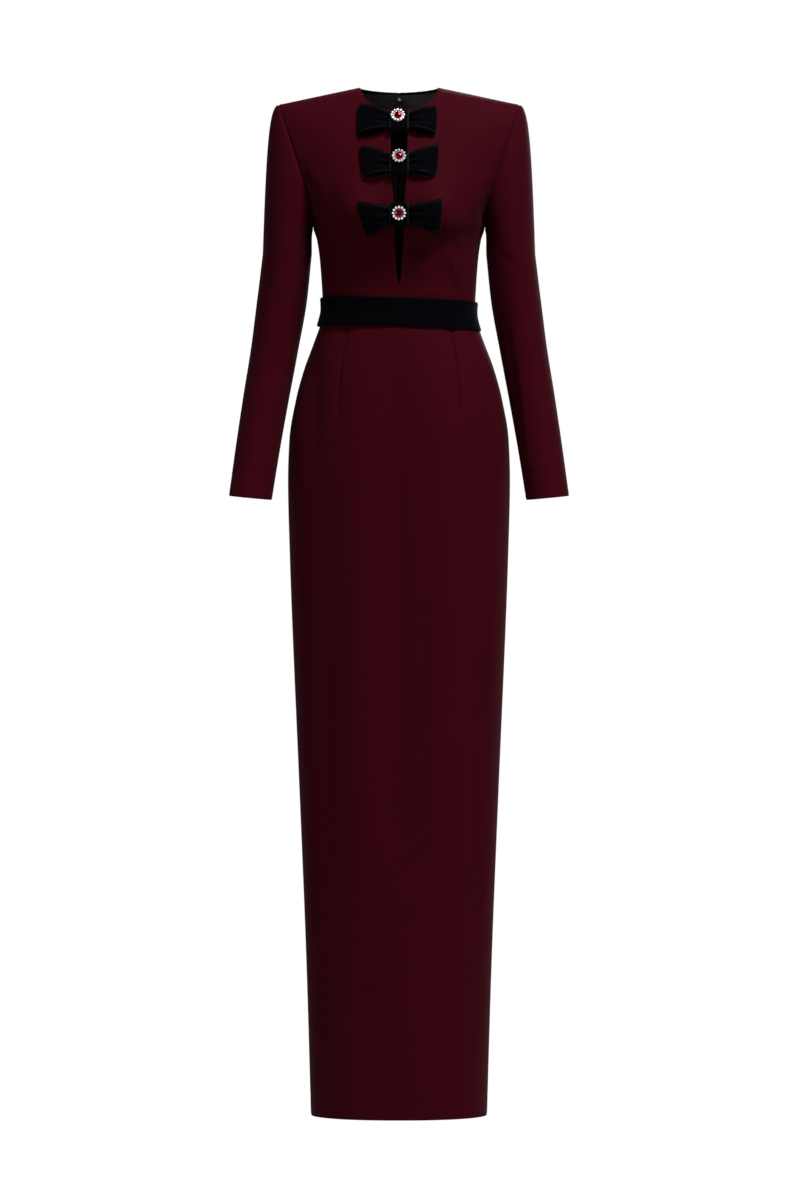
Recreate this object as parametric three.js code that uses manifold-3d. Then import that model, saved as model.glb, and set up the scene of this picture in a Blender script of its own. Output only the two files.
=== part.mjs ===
// A long column gown, filled out as if worn: round neck, padded square shoulders, long set-in
// sleeves, a front slit crossed by three velvet bows with jewelled brooches, a velvet belt and a
// straight skirt with waist darts. Millimetres, +Z up, the front faces -Y. Left and right are as
// seen from the front. The origin lies between the shoulders, halfway down the shoulder seams.
import * as THREE from "three";
import { mergeVertices } from "three/addons/utils/BufferGeometryUtils.js";
import Module from "manifold-3d";

// Driving dimensions
const clothThick = 1.6; // crepe with its fused lining
const liningThick = 1;
const ribbonThick = 1.2;
const ribbonFlare = 0.62;
const knotInset = 7;
const seamGap = 0.3;
const shoulder = { neckX: 58.5, neckZ: 14.2, tipX: 181, tipZ: -11.5 };
const frontNeckDrop = 39.5;
const backNeckDrop = 2.7;
const underarmZ = -196;
const slitTipZ = -286;
const waistZ = -322;
const hemZ = -1525.5;
const armholeDepth = { front: 48, back: 52 }; // how far the armhole reaches from the side
const armholeMidZ = -106;
const armholeRound = { foot: 1.1, shoulder: 0.5, skew: 0.7, even: 34 };
const bust = { x: 64, z: -183, forward: 18, wide: 38, tall: 42 };

// The body by height. half is the half width at the side seam or armhole, front and back are the
// depths at the centre. Above the underarm, z is the height at the armhole.
const bodyRows = [
  { z: -1525.5, half: 132, front: 98, back: 106 },
  { z: -1294, half: 138.8, front: 101, back: 107 },
  { z: -1054, half: 148.5, front: 104, back: 109 },
  { z: -814, half: 159, front: 106, back: 113 },
  { z: -694, half: 163.5, front: 106.5, back: 117 },
  { z: -574, half: 166.4, front: 105, back: 121 },
  { z: -514, half: 164.4, front: 103.5, back: 120 },
  { z: -454, half: 154.6, front: 101, back: 113 },
  { z: -409, half: 142.6, front: 97, back: 102 },
  { z: -364, half: 125.8, front: 90, back: 87 },
  { z: -340, half: 117.4, front: 85.5, back: 79.5 },
  { z: -322, half: 113.8, front: 84, back: 77 },
  { z: -291, half: 115.2, front: 85, back: 78 },
  { z: -244, half: 118.6, front: 94, back: 83.5 },
  { z: -214, half: 123, front: 102, back: 88 },
  { z: -196, half: 128.4, front: 105.5, back: 91 },
  { z: -172, half: 129.8, front: 107, back: 95 },
  { z: -150, half: 136, front: 105, back: 98.5 },
  { z: -127, half: 143.5, front: 99, back: 100 },
  { z: -100, half: 152.4, front: 88, back: 97 },
  { z: -75, half: 160.8, front: 76, back: 87 },
  { z: -60, half: 165.8, front: 68, back: 78 },
  { z: -43, half: 170.9, front: 58, back: 65 },
  { z: -27.5, half: 175.9, front: 46, back: 50 },
  { z: -19.5, half: 178.4, front: 36, back: 38 },
  { z: -13.8, half: 180.2, front: 20, back: 21 },
  { z: -11.5, half: 181, front: 0, back: 0 },
];

// Half width of the front slit by height, down to the seam below its tip.
const slitRows = [
  { z: slitTipZ - 1, half: seamGap / 2 },
  { z: slitTipZ, half: seamGap / 2 },
  { z: -281.5, half: 1.5 },
  { z: -277, half: 2.3 },
  { z: -268, half: 3.3 },
  { z: -251, half: 4.8 },
  { z: -238, half: 5.7 },
  { z: -203, half: 6.9 },
  { z: -164, half: 8 },
  { z: -124, half: 11.1 },
  { z: -60, half: 12.6 },
  { z: 0, half: 12.8 },
];

// The sleeve below the armhole: centre, half width across, half depth, and how far it is turned.
const sleeveRows = [
  { z: -601.5, x: 222, y: -34, half: 32.2, deep: 37, turn: 5.5 },
  { z: -529, x: 211.5, y: -21, half: 33.1, deep: 40, turn: 5 },
  { z: -454, x: 199.6, y: -9, half: 34.3, deep: 44, turn: 4.5 },
  { z: -379, x: 186.8, y: 0, half: 35.4, deep: 48, turn: 3.5 },
  { z: -304, x: 175.4, y: 3, half: 37.4, deep: 52, turn: 2 },
  { z: -235, x: 167.6, y: 2, half: 36.8, deep: 55, turn: 0 },
];

// Waist darts, as the share of the quarter turn from the centre to the side, and their length.
const frontDart = { atWaist: 0.43, atTip: 0.362, tipZ: -500, pinch: 0.9 };
const backDart = { atWaist: 0.4, atTip: 0.35, tipZ: -480, pinch: 0.9 };

const belt = { topZ: -304.5, high: 43.5, tilt: -0.031, thick: 2, standOff: 2.1, turns: 40 };

// Bow loops by their outer corners, and knots by their upper and lower edge and their brooch.
const bowLoops = [
  { bow: 1, side: -1, topX: 61.5, topZ: -14.2, bottomX: 63, bottomZ: -60.5, sag: 6 },
  { bow: 1, side: 1, topX: 57, topZ: -18.4, bottomX: 55.5, bottomZ: -60.5, sag: 5 },
  { bow: 2, side: -1, topX: 60, topZ: -79.6, bottomX: 53.5, bottomZ: -128.3, sag: 0 },
  { bow: 2, side: 1, topX: 59.6, topZ: -78.4, bottomX: 55.7, bottomZ: -126, sag: 0 },
  { bow: 3, side: -1, topX: 64, topZ: -164.3, bottomX: 49, bottomZ: -217, sag: 0 },
  { bow: 3, side: 1, topX: 65, topZ: -160.4, bottomX: 61.7, bottomZ: -211.5, sag: 0 },
];
const knotRows = [
  { bow: 1, topZ: -23.6, bottomZ: -54.5, broochX: -1.6, broochZ: -35.2 },
  { bow: 2, topZ: -88, bottomZ: -123, broochX: 0, broochZ: -97.4 },
  { bow: 3, topZ: -167, bottomZ: -201.5, broochX: 0, broochZ: -182.6 },
];
const knot = { halfWide: 14.4, seat: 0.7, deep: 13, square: 0.5, turns: 16 };
// A loop seen from above: from the knot out along the front layer, round, and back behind.
// out is the share of its length, stand the height above the bodice.
const loopPath = [
  { out: 0, stand: 9.2 },
  { out: 0.14, stand: 9.9 },
  { out: 0.3, stand: 12 },
  { out: 0.55, stand: 12.4 },
  { out: 0.8, stand: 9.8 },
  { out: 0.95, stand: 6.6 },
  { out: 1, stand: 3.9 },
  { out: 0.95, stand: 2.7 },
  { out: 0.8, stand: 2.1 },
  { out: 0.55, stand: 1.9 },
  { out: 0.3, stand: 2.2 },
  { out: 0.14, stand: 3.6 },
  { out: 0, stand: 4.6 },
];
const loopStartX = 11.5;
const loopRows = 4;

const brooch = { discRadius: 9.7, discThick: 1.5, stoneRadius: 5.9, stoneHigh: 3.6, collet: 0.6 };
const crystal = { count: 12, ringRadius: 8.9, radius: 2.05 };
const button = { radius: 4.2, topZ: 9, bottomZ: -1, loopRadius: 3.8, loopThick: 0.55 };
const zipPull = { topZ: 2, bottomZ: -18, half: 3, eye: 1.1, thick: 1.2, standOff: 0.5 };

const crepe = { color: 0x3a0710, roughness: 0.85, metalness: 0 };
const black = { color: 0x0a0a0c, roughness: 0.9, metalness: 0 };
const velvet = { color: 0x07080a, roughness: 1, metalness: 0 };
const silver = { color: 0xbfb6b5, roughness: 0.3, metalness: 1 };
const clear = { color: 0xe9dfe4, roughness: 0.05, metalness: 0 };
const garnet = { color: 0x7a0714, roughness: 0.08, metalness: 0 };

const gown = new THREE.Group();
const wasm = await Module();
wasm.setup();

const mix = (from, to, share) => from + (to - from) * share;
const clamp01 = (value) => Math.min(1, Math.max(0, value));
const smooth = (value) => clamp01(value) ** 2 * (3 - 2 * clamp01(value));

// A smooth curve through one column of a table that never overshoots its rows.
function curveThrough(rows, key, value, place = (row) => row) {
  const at = rows.map((row) => place(row[key]));
  const of = rows.map((row) => row[value]);
  const rise = at.slice(1).map((end, i) => (of[i + 1] - of[i]) / (end - at[i]));
  const slope = at.map((_, i) => {
    if (i === 0) return rise[0];
    if (i === at.length - 1) return rise[i - 1];
    if (rise[i - 1] * rise[i] <= 0) return 0;
    return (2 * rise[i - 1] * rise[i]) / (rise[i - 1] + rise[i]);
  });
  return (input) => {
    const x = Math.min(Math.max(place(input), Math.min(at[0], at.at(-1))), Math.max(at[0], at.at(-1)));
    let i = 0;
    while (i < at.length - 2 && (x - at[i + 1]) * (at[1] - at[0]) > 0) i += 1;
    const width = at[i + 1] - at[i];
    const t = (x - at[i]) / width;
    const here = of[i] * (1 + 2 * t) * (1 - t) ** 2 + slope[i] * width * t * (1 - t) ** 2;
    return here + of[i + 1] * t * t * (3 - 2 * t) + slope[i + 1] * width * t * t * (t - 1);
  };
}

// The cloth rolls over the shoulder as the root of the depth below it.
const rootDepth = (z) => Math.sqrt(Math.max(shoulder.tipZ - z, 0));
const halfAt = curveThrough(bodyRows, "z", "half", rootDepth);
const centreDepth = {
  front: curveThrough(bodyRows, "z", "front", rootDepth),
  back: curveThrough(bodyRows, "z", "back", rootDepth),
};
const slitAt = curveThrough(slitRows, "z", "half");

const armShare = (level) => clamp01((level - underarmZ) / (shoulder.tipZ - underarmZ));
const shoulderZ = (x) =>
  mix(shoulder.neckZ, shoulder.tipZ, (Math.abs(x) - shoulder.neckX) / (shoulder.tipX - shoulder.neckX));

// Above the underarm a level line rises with the shoulder seam; below it is flat.
function heightAt(x, level) {
  return level <= underarmZ ? level : mix(underarmZ, shoulderZ(x), armShare(level));
}
function levelAt(x, z) {
  if (z <= underarmZ) return z;
  const share = (z - underarmZ) / (shoulderZ(x) - underarmZ);
  return mix(underarmZ, shoulder.tipZ, Math.min(share, 1));
}

// How far the section turns towards the side: a quarter turn below the arm, less at the chest.
const turnAt = (level) => THREE.MathUtils.degToRad(mix(90, 62, smooth(armShare(level) / 0.45)));
const squareness = (level) => mix(0.91, 1, smooth((level + 260) / 64));

// Half depth of the armhole edge: rounded at its foot and at the shoulder.
function armEdge(face, level) {
  const share = armShare(level);
  if (share <= 0 || share >= 1) return 0;
  const round = mix(armholeRound.foot, armholeRound.shoulder, smooth(2 * share));
  return armholeDepth[face] * Math.sin(Math.PI * share ** armholeRound.skew) ** round;
}

// The armhole edge's half depth as a weighted mean of the heights around, so that the cloth beside
// the foot of the armhole stays even.
const evenSteps = [-1, -0.8, -0.6, -0.4, -0.2, 0, 0.2, 0.4, 0.6, 0.8, 1];
function evenEdge(face, level) {
  let sum = 0;
  let total = 0;
  for (const step of evenSteps) {
    const weight = Math.exp(-2 * step * step);
    sum += weight * armEdge(face, level + armholeRound.even * step);
    total += weight;
  }
  return sum / total;
}

// Depth of the cloth from the side plane at x on one level.
function depthAt(face, x, level) {
  const turn = turnAt(level);
  const power = squareness(level);
  const across = Math.min(Math.abs(x) / halfAt(level), 1);
  const angle = Math.asin(Math.min(across ** (1 / power) * Math.sin(turn), Math.sin(turn)));
  const share = Math.max((Math.cos(angle) - Math.cos(turn)) / (1 - Math.cos(turn)), 0) ** power;
  const inward = 1 - (1 - share) ** 6;
  const low = 1 - smooth((armShare(level) - 0.3) / 0.4);
  const edge = mix(armEdge(face, level), evenEdge(face, level), low * inward);
  const depth = mix(edge, centreDepth[face](level), share);
  if (face === "back") return depth;
  const overX = (Math.abs(x) - bust.x) / bust.wide;
  const overZ = (heightAt(x, level) - bust.z) / bust.tall;
  return depth + bust.forward * Math.exp(-overX * overX - overZ * overZ) * (1 - across ** 4);
}

// x at a share of the turn from the centre (0) to the side or armhole (1).
function acrossAt(share, level) {
  const turn = turnAt(level);
  return halfAt(level) * (Math.sin(share * turn) / Math.sin(turn)) ** squareness(level);
}
function shareAt(x, level) {
  const across = (x / halfAt(level)) ** (1 / squareness(level));
  return Math.asin(across * Math.sin(turnAt(level))) / turnAt(level);
}

const neckZ = {
  front: (x) => shoulder.neckZ - frontNeckDrop * Math.sqrt(1 - Math.min((x / shoulder.neckX) ** 2, 1)),
  back: (x) => shoulder.neckZ - backNeckDrop * (1 - (x / shoulder.neckX) ** 2),
};

// Normals of a grid of points, by the differences between neighbours, facing along hint.
function gridNormals(points, hint, wrap) {
  const columns = points.length;
  const rows = points[0].length;
  const normals = points.map((column, i) =>
    column.map((_, j) => {
      const before = wrap ? (i + columns - 1) % columns : Math.max(i - 1, 0);
      const after = wrap ? (i + 1) % columns : Math.min(i + 1, columns - 1);
      const across = points[after][j].clone().sub(points[before][j]);
      const along = points[i][Math.min(j + 1, rows - 1)].clone().sub(points[i][Math.max(j - 1, 0)]);
      return across.cross(along).normalize();
    }),
  );
  const middle = normals[Math.floor(columns / 2)][Math.floor(rows / 2)];
  if (middle.dot(hint) < 0) normals.forEach((column) => column.forEach((normal) => normal.negate()));
  return normals;
}

// The points moved along their normals.
function moved(points, normals, distance) {
  return points.map((column, i) =>
    column.map((point, j) => point.clone().addScaledVector(normals[i][j], distance)),
  );
}

// A closed wall between two grids of points, with a rim round its free edges.
function wall(outer, inner, wrap = false) {
  const columns = outer.length;
  const rows = outer[0].length;
  const all = [...outer.flat(), ...inner.flat()];
  const out = (i, j) => (i % columns) * rows + j;
  const back = (i, j) => out(i, j) + columns * rows;
  const faces = [];
  const quad = (a, b, c, d) => faces.push(a, b, c, a, c, d);
  const cells = wrap ? columns : columns - 1;
  for (let i = 0; i < cells; i += 1) {
    for (let j = 0; j < rows - 1; j += 1) {
      quad(out(i, j), out(i + 1, j), out(i + 1, j + 1), out(i, j + 1));
      quad(back(i, j), back(i, j + 1), back(i + 1, j + 1), back(i + 1, j));
    }
    quad(out(i + 1, 0), out(i, 0), back(i, 0), back(i + 1, 0));
    quad(out(i, rows - 1), out(i + 1, rows - 1), back(i + 1, rows - 1), back(i, rows - 1));
  }
  for (let j = 0; j < rows - 1 && !wrap; j += 1) {
    const last = columns - 1;
    quad(out(0, j), out(0, j + 1), back(0, j + 1), back(0, j));
    quad(out(last, j + 1), out(last, j), back(last, j), back(last, j + 1));
  }
  const volume = faces.reduce((sum, _, at) => {
    if (at % 3) return sum;
    const [a, b, c] = [all[faces[at]], all[faces[at + 1]], all[faces[at + 2]]];
    return sum + a.dot(b.clone().cross(c));
  }, 0);
  if (volume < 0) faces.reverse();
  const geometry = new THREE.BufferGeometry().setFromPoints(all);
  geometry.setIndex(faces);
  geometry.computeVertexNormals();
  return geometry;
}

function addPiece(name, geometry, finish, parent = gown) {
  const material = new THREE.MeshStandardMaterial({ ...finish, side: THREE.DoubleSide });
  const mesh = new THREE.Mesh(geometry, material);
  mesh.name = name;
  parent.add(mesh);
  return mesh;
}

const levelSteps = (from, to, count) => Array.from({ length: count + 1 }, (_, i) => mix(from, to, i / count));
const easedSteps = (count) => levelSteps(0, Math.PI, count).map((angle) => (1 - Math.cos(angle)) / 2);

// Half of a bodice: columns run from the centre edge to the side, rows from the waist over the
// chest to the neckline or shoulder seam. The last column is the side seam and the armhole.
const armholeRows = 10;
const neckColumns = 4;
const sideColumns = 7;
function bodiceGrid(face, side, innerX, lowLevels) {
  const topLevel = shoulder.tipZ;
  const innerShare = (level) => shareAt(innerX(heightAt(0, level)), level);
  const neckShare =
    (shareAt(shoulder.neckX, shoulder.tipZ) - innerShare(topLevel)) / (1 - innerShare(topLevel));
  const columns = [
    ...levelSteps(0, neckShare, neckColumns),
    ...levelSteps(neckShare, 1, sideColumns).slice(1),
  ];
  const xAt = (column, level) => {
    const start = innerShare(level);
    return acrossAt(start + (1 - start) * column, level);
  };
  // Where a column meets the neckline, found by halving.
  const neckLevel = (column) => {
    let [low, high] = [underarmZ, topLevel];
    for (let step = 0; step < 40; step += 1) {
      const level = (low + high) / 2;
      const x = xAt(column, level);
      if (heightAt(x, level) < neckZ[face](x)) low = level;
      else high = level;
    }
    return low;
  };
  const facing = face === "front" ? -1 : 1;
  return columns.map((column, i) => {
    const end = i < neckColumns ? neckLevel(column) : topLevel;
    const levels = [
      ...lowLevels,
      ...easedSteps(armholeRows).map((share) => mix(underarmZ, end, share)),
    ];
    return levels.map((level) => {
      const x = xAt(column, level);
      const depth = depthAt(face, x, level) + seamGap / 2;
      return new THREE.Vector3(side * x, facing * depth, heightAt(x, level));
    });
  });
}

// From the middle of the armhole to its edge: the way the wall is thick along that seam.
function armholeOut(point) {
  return new THREE.Vector3(0, point.y, point.z - armholeMidZ).normalize();
}

// Along seams the wall is cut square to the seam's plane, so that both sides of it meet.
function squareSeams(points, normals, lowCount) {
  const last = points.length - 1;
  points.forEach((column, i) => {
    normals[i][0].setZ(0).normalize();
    if (i >= neckColumns) normals[i][column.length - 1].setY(0).normalize();
  });
  points[last].forEach((point, j) => {
    if (j < lowCount) normals[last][j].setY(0).normalize();
    else normals[last][j].copy(armholeOut(point));
  });
}

const frontLowLevels = [waistZ, ...levelSteps(slitTipZ, underarmZ, 3).slice(0, -1)];
const backLowLevels = levelSteps(waistZ, underarmZ, 3).slice(0, -1);
const centreSeam = () => seamGap / 2;
const armholes = {};
const backs = {};

// A bodice half as a wall. Its armhole edge, outside and inside, is kept for the sleeve.
function bodicePiece(name, face, side) {
  const lowLevels = face === "front" ? frontLowLevels : backLowLevels;
  const points = bodiceGrid(face, side, face === "front" ? slitAt : centreSeam, lowLevels);
  const normals = gridNormals(points, new THREE.Vector3(0, face === "front" ? -1 : 1, 0));
  squareSeams(points, normals, lowLevels.length);
  if (face === "back") normals[0].forEach((normal) => normal.setX(0).normalize());
  const inside = moved(points, normals, -clothThick);
  armholes[face + side] = {
    outside: points.at(-1).slice(lowLevels.length),
    inside: inside.at(-1).slice(lowLevels.length),
  };
  if (face === "back") backs[side] = { points, normals };
  return addPiece(name, wall(points, inside), crepe);
}

// Black lining inside a back, as the back's own points moved in. It stops one row below the
// neck and shoulder seam, and one column before the armhole.
function liningPiece(name, side) {
  const { points, normals } = backs[side];
  const kept = (grid) => grid.slice(0, -1).map((column) => column.slice(0, -1));
  const face = moved(kept(points), kept(normals), -clothThick - seamGap);
  return addPiece(name, wall(face, moved(face, kept(normals), -liningThick)), black);
}

// A sleeve: its first ring lies along the armhole, then each line bends over the crown and down
// to the upper arm by a cubic curve, and runs through the sleeve's sections to the cuff.
const crownSteps = [0.05, 0.12, 0.21, 0.32, 0.45, 0.6, 0.8];
const armSteps = 9;
// How the curves leave the armhole and reach the arm, under the arm and at the top of the crown.
const crownBend = {
  leave: { underOut: 2.5, topOut: 13, forward: 6, underDown: 10, topDown: 3 },
  arrive: { topIn: 5.5, underUp: 20, topUp: 175, power: 1.5 },
};
function sleevePiece(name, side) {
  const section = Object.fromEntries(
    ["x", "y", "half", "deep", "turn"].map((key) => [key, curveThrough(sleeveRows, "z", key)]),
  );
  const { leave, arrive } = crownBend;
  const armTopZ = sleeveRows.at(-1).z;
  const cuffZ = sleeveRows[0].z;
  const sectionPoint = (angle, z) => {
    const turn = THREE.MathUtils.degToRad(section.turn(z));
    const across = -section.half(z) * Math.cos(angle);
    return new THREE.Vector3(
      side * (section.x(z) + across * Math.cos(turn)),
      section.y(z) - section.deep(z) * Math.sin(angle),
      z + across * Math.sin(turn),
    );
  };
  const front = armholes["front" + side];
  const back = armholes["back" + side];
  const ring = (which) => [
    ...front[which],
    ...back[which].slice(1, -1).reverse(),
  ];
  const shift = new THREE.Vector3(side * seamGap * 1.15, 0, 0);
  const edge = ring("outside").map((point) => point.clone().add(shift));
  const innerEdge = ring("inside").map((point) => point.clone().add(shift));
  // The front and back of each seam end share one point here.
  [0, armholeRows].forEach((i) => {
    edge[i].y = 0;
    innerEdge[i].y = 0;
  });
  const points = edge.map((start, k) => {
    const angle = (Math.PI * k) / armholeRows;
    const crown = k <= armholeRows ? k / armholeRows : 2 - k / armholeRows;
    const end = sectionPoint(angle, armTopZ);
    const lead = start.clone();
    lead.x += side * mix(leave.underOut, leave.topOut, crown);
    lead.y -= leave.forward * Math.sin(angle);
    lead.z -= mix(leave.underDown, leave.topDown, crown);
    const land = end.clone();
    land.x -= side * arrive.topIn * crown;
    land.z += mix(arrive.underUp, arrive.topUp, crown ** arrive.power);
    const curve = new THREE.CubicBezierCurve3(start, lead, land, end);
    const sections = levelSteps(armTopZ, cuffZ, armSteps).map((z) => sectionPoint(angle, z));
    return [start, ...crownSteps.map((share) => curve.getPoint(share)), ...sections];
  });
  const normals = gridNormals(points, new THREE.Vector3(side, 0, 0), true);
  const inside = moved(points, normals, -clothThick);
  inside.forEach((column, k) => column[0].copy(innerEdge[k]));
  return addPiece(name, wall(points, inside, true), crepe);
}

// Skirt columns are bent so that one of them follows the dart, where the cloth is pinched in.
const skirtRows = 15;
const skirtRowPower = 1.6;
function skirtColumn(face, side, column, dartAt) {
  const dart = face === "front" ? frontDart : backDart;
  const facing = face === "front" ? -1 : 1;
  return Array.from({ length: skirtRows + 1 }, (_, j) => {
    const z = mix(waistZ - seamGap, hemZ, (j / skirtRows) ** skirtRowPower);
    const down = clamp01((waistZ - z) / (waistZ - dart.tipZ));
    const dartShare = mix(dart.atWaist, dart.atTip, smooth(down));
    const share =
      column <= dartAt
        ? (dartShare * column) / dartAt
        : mix(dartShare, 1, (column - dartAt) / (1 - dartAt));
    const start = face === "front" ? 0 : shareAt(seamGap / 2, z);
    const x = acrossAt(Math.max(share, start), z);
    const pinch = column === dartAt ? dart.pinch * (1 - down) : 0;
    const depth = depthAt(face, x, z) - pinch + seamGap / 2;
    return new THREE.Vector3(side * x, facing * depth, z);
  });
}

const dartColumn = 0.4;
const skirtColumns = [0, 0.12, 0.25, 0.36, dartColumn, 0.44, 0.58, 0.72, 0.86, 1];

function skirtWall(name, face, columns, edges) {
  const normals = gridNormals(columns, new THREE.Vector3(0, face === "front" ? -1 : 1, 0));
  columns.forEach((_, i) => normals[i][0].setZ(0).normalize());
  edges.side.forEach((i) => normals.at(i).forEach((normal) => normal.setY(0).normalize()));
  edges.centre.forEach((i) => normals.at(i).forEach((normal) => normal.setX(0).normalize()));
  return addPiece(name, wall(columns, moved(columns, normals, -clothThick)), crepe);
}

function skirtFront() {
  const left = skirtColumns.slice(1).reverse();
  const columns = [
    ...left.map((column) => skirtColumn("front", -1, column, dartColumn)),
    ...skirtColumns.map((column) => skirtColumn("front", 1, column, dartColumn)),
  ];
  return skirtWall("skirt_front", "front", columns, { side: [0, -1], centre: [] });
}

function skirtBack(name, side) {
  const columns = skirtColumns.map((column) => skirtColumn("back", side, column, dartColumn));
  return skirtWall(name, "back", columns, { side: [-1], centre: [0] });
}

// The belt: an open ring round the waist whose ends meet at the centre back.
function beltPiece() {
  const ends = (seamGap * 1.2) / (2 * Math.PI * 90);
  const turnSteps = levelSteps(0.5 + ends, 1.5 - ends, belt.turns).map((turn) => turn * 2 * Math.PI);
  const points = turnSteps.map((turn) =>
    [1, 0.5, 0].map((down) => {
      const sine = Math.sin(turn);
      const cosine = Math.cos(turn);
      const flat = belt.topZ - belt.high * down;
      const power = squareness(flat);
      const x = Math.sign(sine) * halfAt(flat) * Math.abs(sine) ** power;
      const face = cosine > 0 ? "front" : "back";
      const y = -Math.sign(cosine) * centreDepth[face](flat) * Math.abs(cosine) ** power;
      return new THREE.Vector3(x, y, flat + belt.tilt * x);
    }),
  );
  const normals = gridNormals(points, new THREE.Vector3(0, -1, 0));
  [0, -1].forEach((i) => normals.at(i).forEach((normal) => normal.setX(0).normalize()));
  const inside = moved(points, normals, belt.standOff);
  return addPiece("belt", wall(moved(points, normals, belt.standOff + belt.thick), inside), velvet);
}

// Directions on the centre line of the cloth between two heights: across, up its slope, and out.
function slopeAxes(face, topZ, bottomZ) {
  const facing = face === "front" ? -1 : 1;
  const surface = (z) => {
    const depth = depthAt(face, 0, levelAt(0, z)) + seamGap / 2;
    return new THREE.Vector3(0, facing * depth, z);
  };
  const up = surface(topZ).sub(surface(bottomZ)).normalize();
  const across = new THREE.Vector3(-facing, 0, 0);
  const middle = surface(topZ).lerp(surface(bottomZ), 0.5);
  return { across, up, out: across.clone().cross(up), middle };
}

// A frame there: x across, y up the slope, z out.
function surfaceFrame(face, topZ, bottomZ, inwards = 0) {
  const { across, up, out, middle } = slopeAxes(face, topZ, bottomZ);
  const group = new THREE.Group();
  const axes = new THREE.Matrix4().makeBasis(across, up, out);
  group.applyMatrix4(axes.setPosition(middle.addScaledVector(out, -inwards)));
  group.updateMatrixWorld(true);
  gown.add(group);
  return group;
}

// The frame of a bow, lowered so that the front of its knot spans the heights in its row.
function bowFrame(row) {
  const drop = (knot.seat + knot.deep) * slopeAxes("front", row.topZ, row.bottomZ).out.z;
  return surfaceFrame("front", row.topZ - drop, row.bottomZ - drop);
}

// Cosine of a frame's lean from upright.
const leanOf = (group) => new THREE.Vector3(0, 1, 0).transformDirection(group.matrixWorld).z;

const middleZ = (group) => new THREE.Vector3().setFromMatrixPosition(group.matrixWorld).z;
const outZ = (group) => new THREE.Vector3(0, 0, 1).transformDirection(group.matrixWorld).z;

const ray = new THREE.Raycaster();
const rayStart = 80;

// Height of the bodice above a bow's own plane, read on the bodice's faces.
function chestUnder(group, fronts, x, up) {
  const beside = Math.sign(x) * Math.max(Math.abs(x), knot.halfWide);
  const from = group.localToWorld(new THREE.Vector3(beside, up, rayStart));
  const towards = new THREE.Vector3(0, 0, -1).transformDirection(group.matrixWorld);
  ray.set(from, towards);
  const hit = ray.intersectObjects(fronts)[0];
  return hit ? rayStart - hit.distance : 0;
}

// How far a knot has to stand off its frame to rest on both edges of the slit.
function knotSeat(group, fronts, row) {
  const halfHigh = (row.topZ - row.bottomZ) / leanOf(group) / 2;
  const spots = [-1, 0, 1].flatMap((up) => [-1, 1].map((x) => [x * knot.halfWide, up * halfHigh]));
  return Math.max(...spots.map(([x, up]) => chestUnder(group, fronts, x, up))) + knot.seat;
}

function bowLoop(group, fronts, row, knotRow, seat) {
  const lean = leanOf(group);
  const localUp = (z) => (z - middleZ(group)) / lean;
  const knotHalf = (knotRow.topZ - knotRow.bottomZ) / lean / 2 - knotInset;
  const points = loopPath.map((step, i) =>
    levelSteps(0, 1, loopRows).map((share) => {
      const behind = i > loopPath.length / 2 ? row.sag : 0;
      const outerX = mix(row.bottomX, row.topX, share);
      const outerUp = mix(localUp(row.bottomZ), localUp(row.topZ), share) - behind;
      const x = mix(loopStartX, outerX, step.out);
      const up = mix(mix(-knotHalf, knotHalf, share), outerUp, step.out ** ribbonFlare);
      const chest = chestUnder(group, fronts, row.side * x, up);
      const base = mix(seat - knot.seat, chest, Math.min(step.out / 0.14, 1));
      return new THREE.Vector3(row.side * x, up, base + step.stand);
    }),
  );
  const normals = gridNormals(points, new THREE.Vector3(row.side, 0, 0));
  const sideName = row.side < 0 ? "left" : "right";
  const name = `bow_${row.bow}_${sideName}_loop`;
  return addPiece(name, wall(points, moved(points, normals, -ribbonThick)), velvet, group);
}

// The knot: a band wrapped round the loops, as a short tube with a rounded square section.
function bowKnot(group, row, seat) {
  const lean = leanOf(group);
  const halfHigh = (row.topZ - row.bottomZ) / lean / 2;
  const halfDeep = knot.deep / 2;
  const corner = (value) => Math.sign(value) * Math.abs(value) ** knot.square;
  const ring = (inset, x) =>
    levelSteps(0, 2 * Math.PI, knot.turns).slice(0, -1).map((angle) => new THREE.Vector3(
      x,
      (halfHigh - inset) * corner(Math.sin(angle)),
      seat + halfDeep + (halfDeep - inset) * corner(Math.cos(angle)),
    ));
  const across = [-knot.halfWide, 0, knot.halfWide];
  const tube = (inset) => {
    const rings = across.map((x) => ring(inset, x));
    return rings[0].map((_, i) => rings.map((points) => points[i]));
  };
  return addPiece(`bow_${row.bow}_knot`, wall(tube(0), tube(clothThick), true), velvet, group);
}

// Solids for manifold-3d, and back.
function asSolid(geometry) {
  const bare = geometry.clone();
  bare.deleteAttribute("normal");
  bare.deleteAttribute("uv");
  const merged = mergeVertices(bare, 1e-3);
  const vertProperties = new Float32Array(merged.attributes.position.array);
  const triVerts = new Uint32Array(merged.index.array);
  return new wasm.Manifold(new wasm.Mesh({ numProp: 3, vertProperties, triVerts }));
}
function asGeometry(solid) {
  const mesh = solid.getMesh();
  const geometry = new THREE.BufferGeometry();
  geometry.setAttribute("position", new THREE.BufferAttribute(mesh.vertProperties, 3));
  geometry.setIndex(new THREE.BufferAttribute(mesh.triVerts, 1));
  geometry.computeVertexNormals();
  return geometry;
}

// A turned solid about the local z axis, from pairs of radius and height that close on the axis.
function turned(profile, segments) {
  const points = profile.map(([radius, height]) => new THREE.Vector2(radius, height));
  return new THREE.LatheGeometry(points, segments).rotateX(Math.PI / 2);
}

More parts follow.
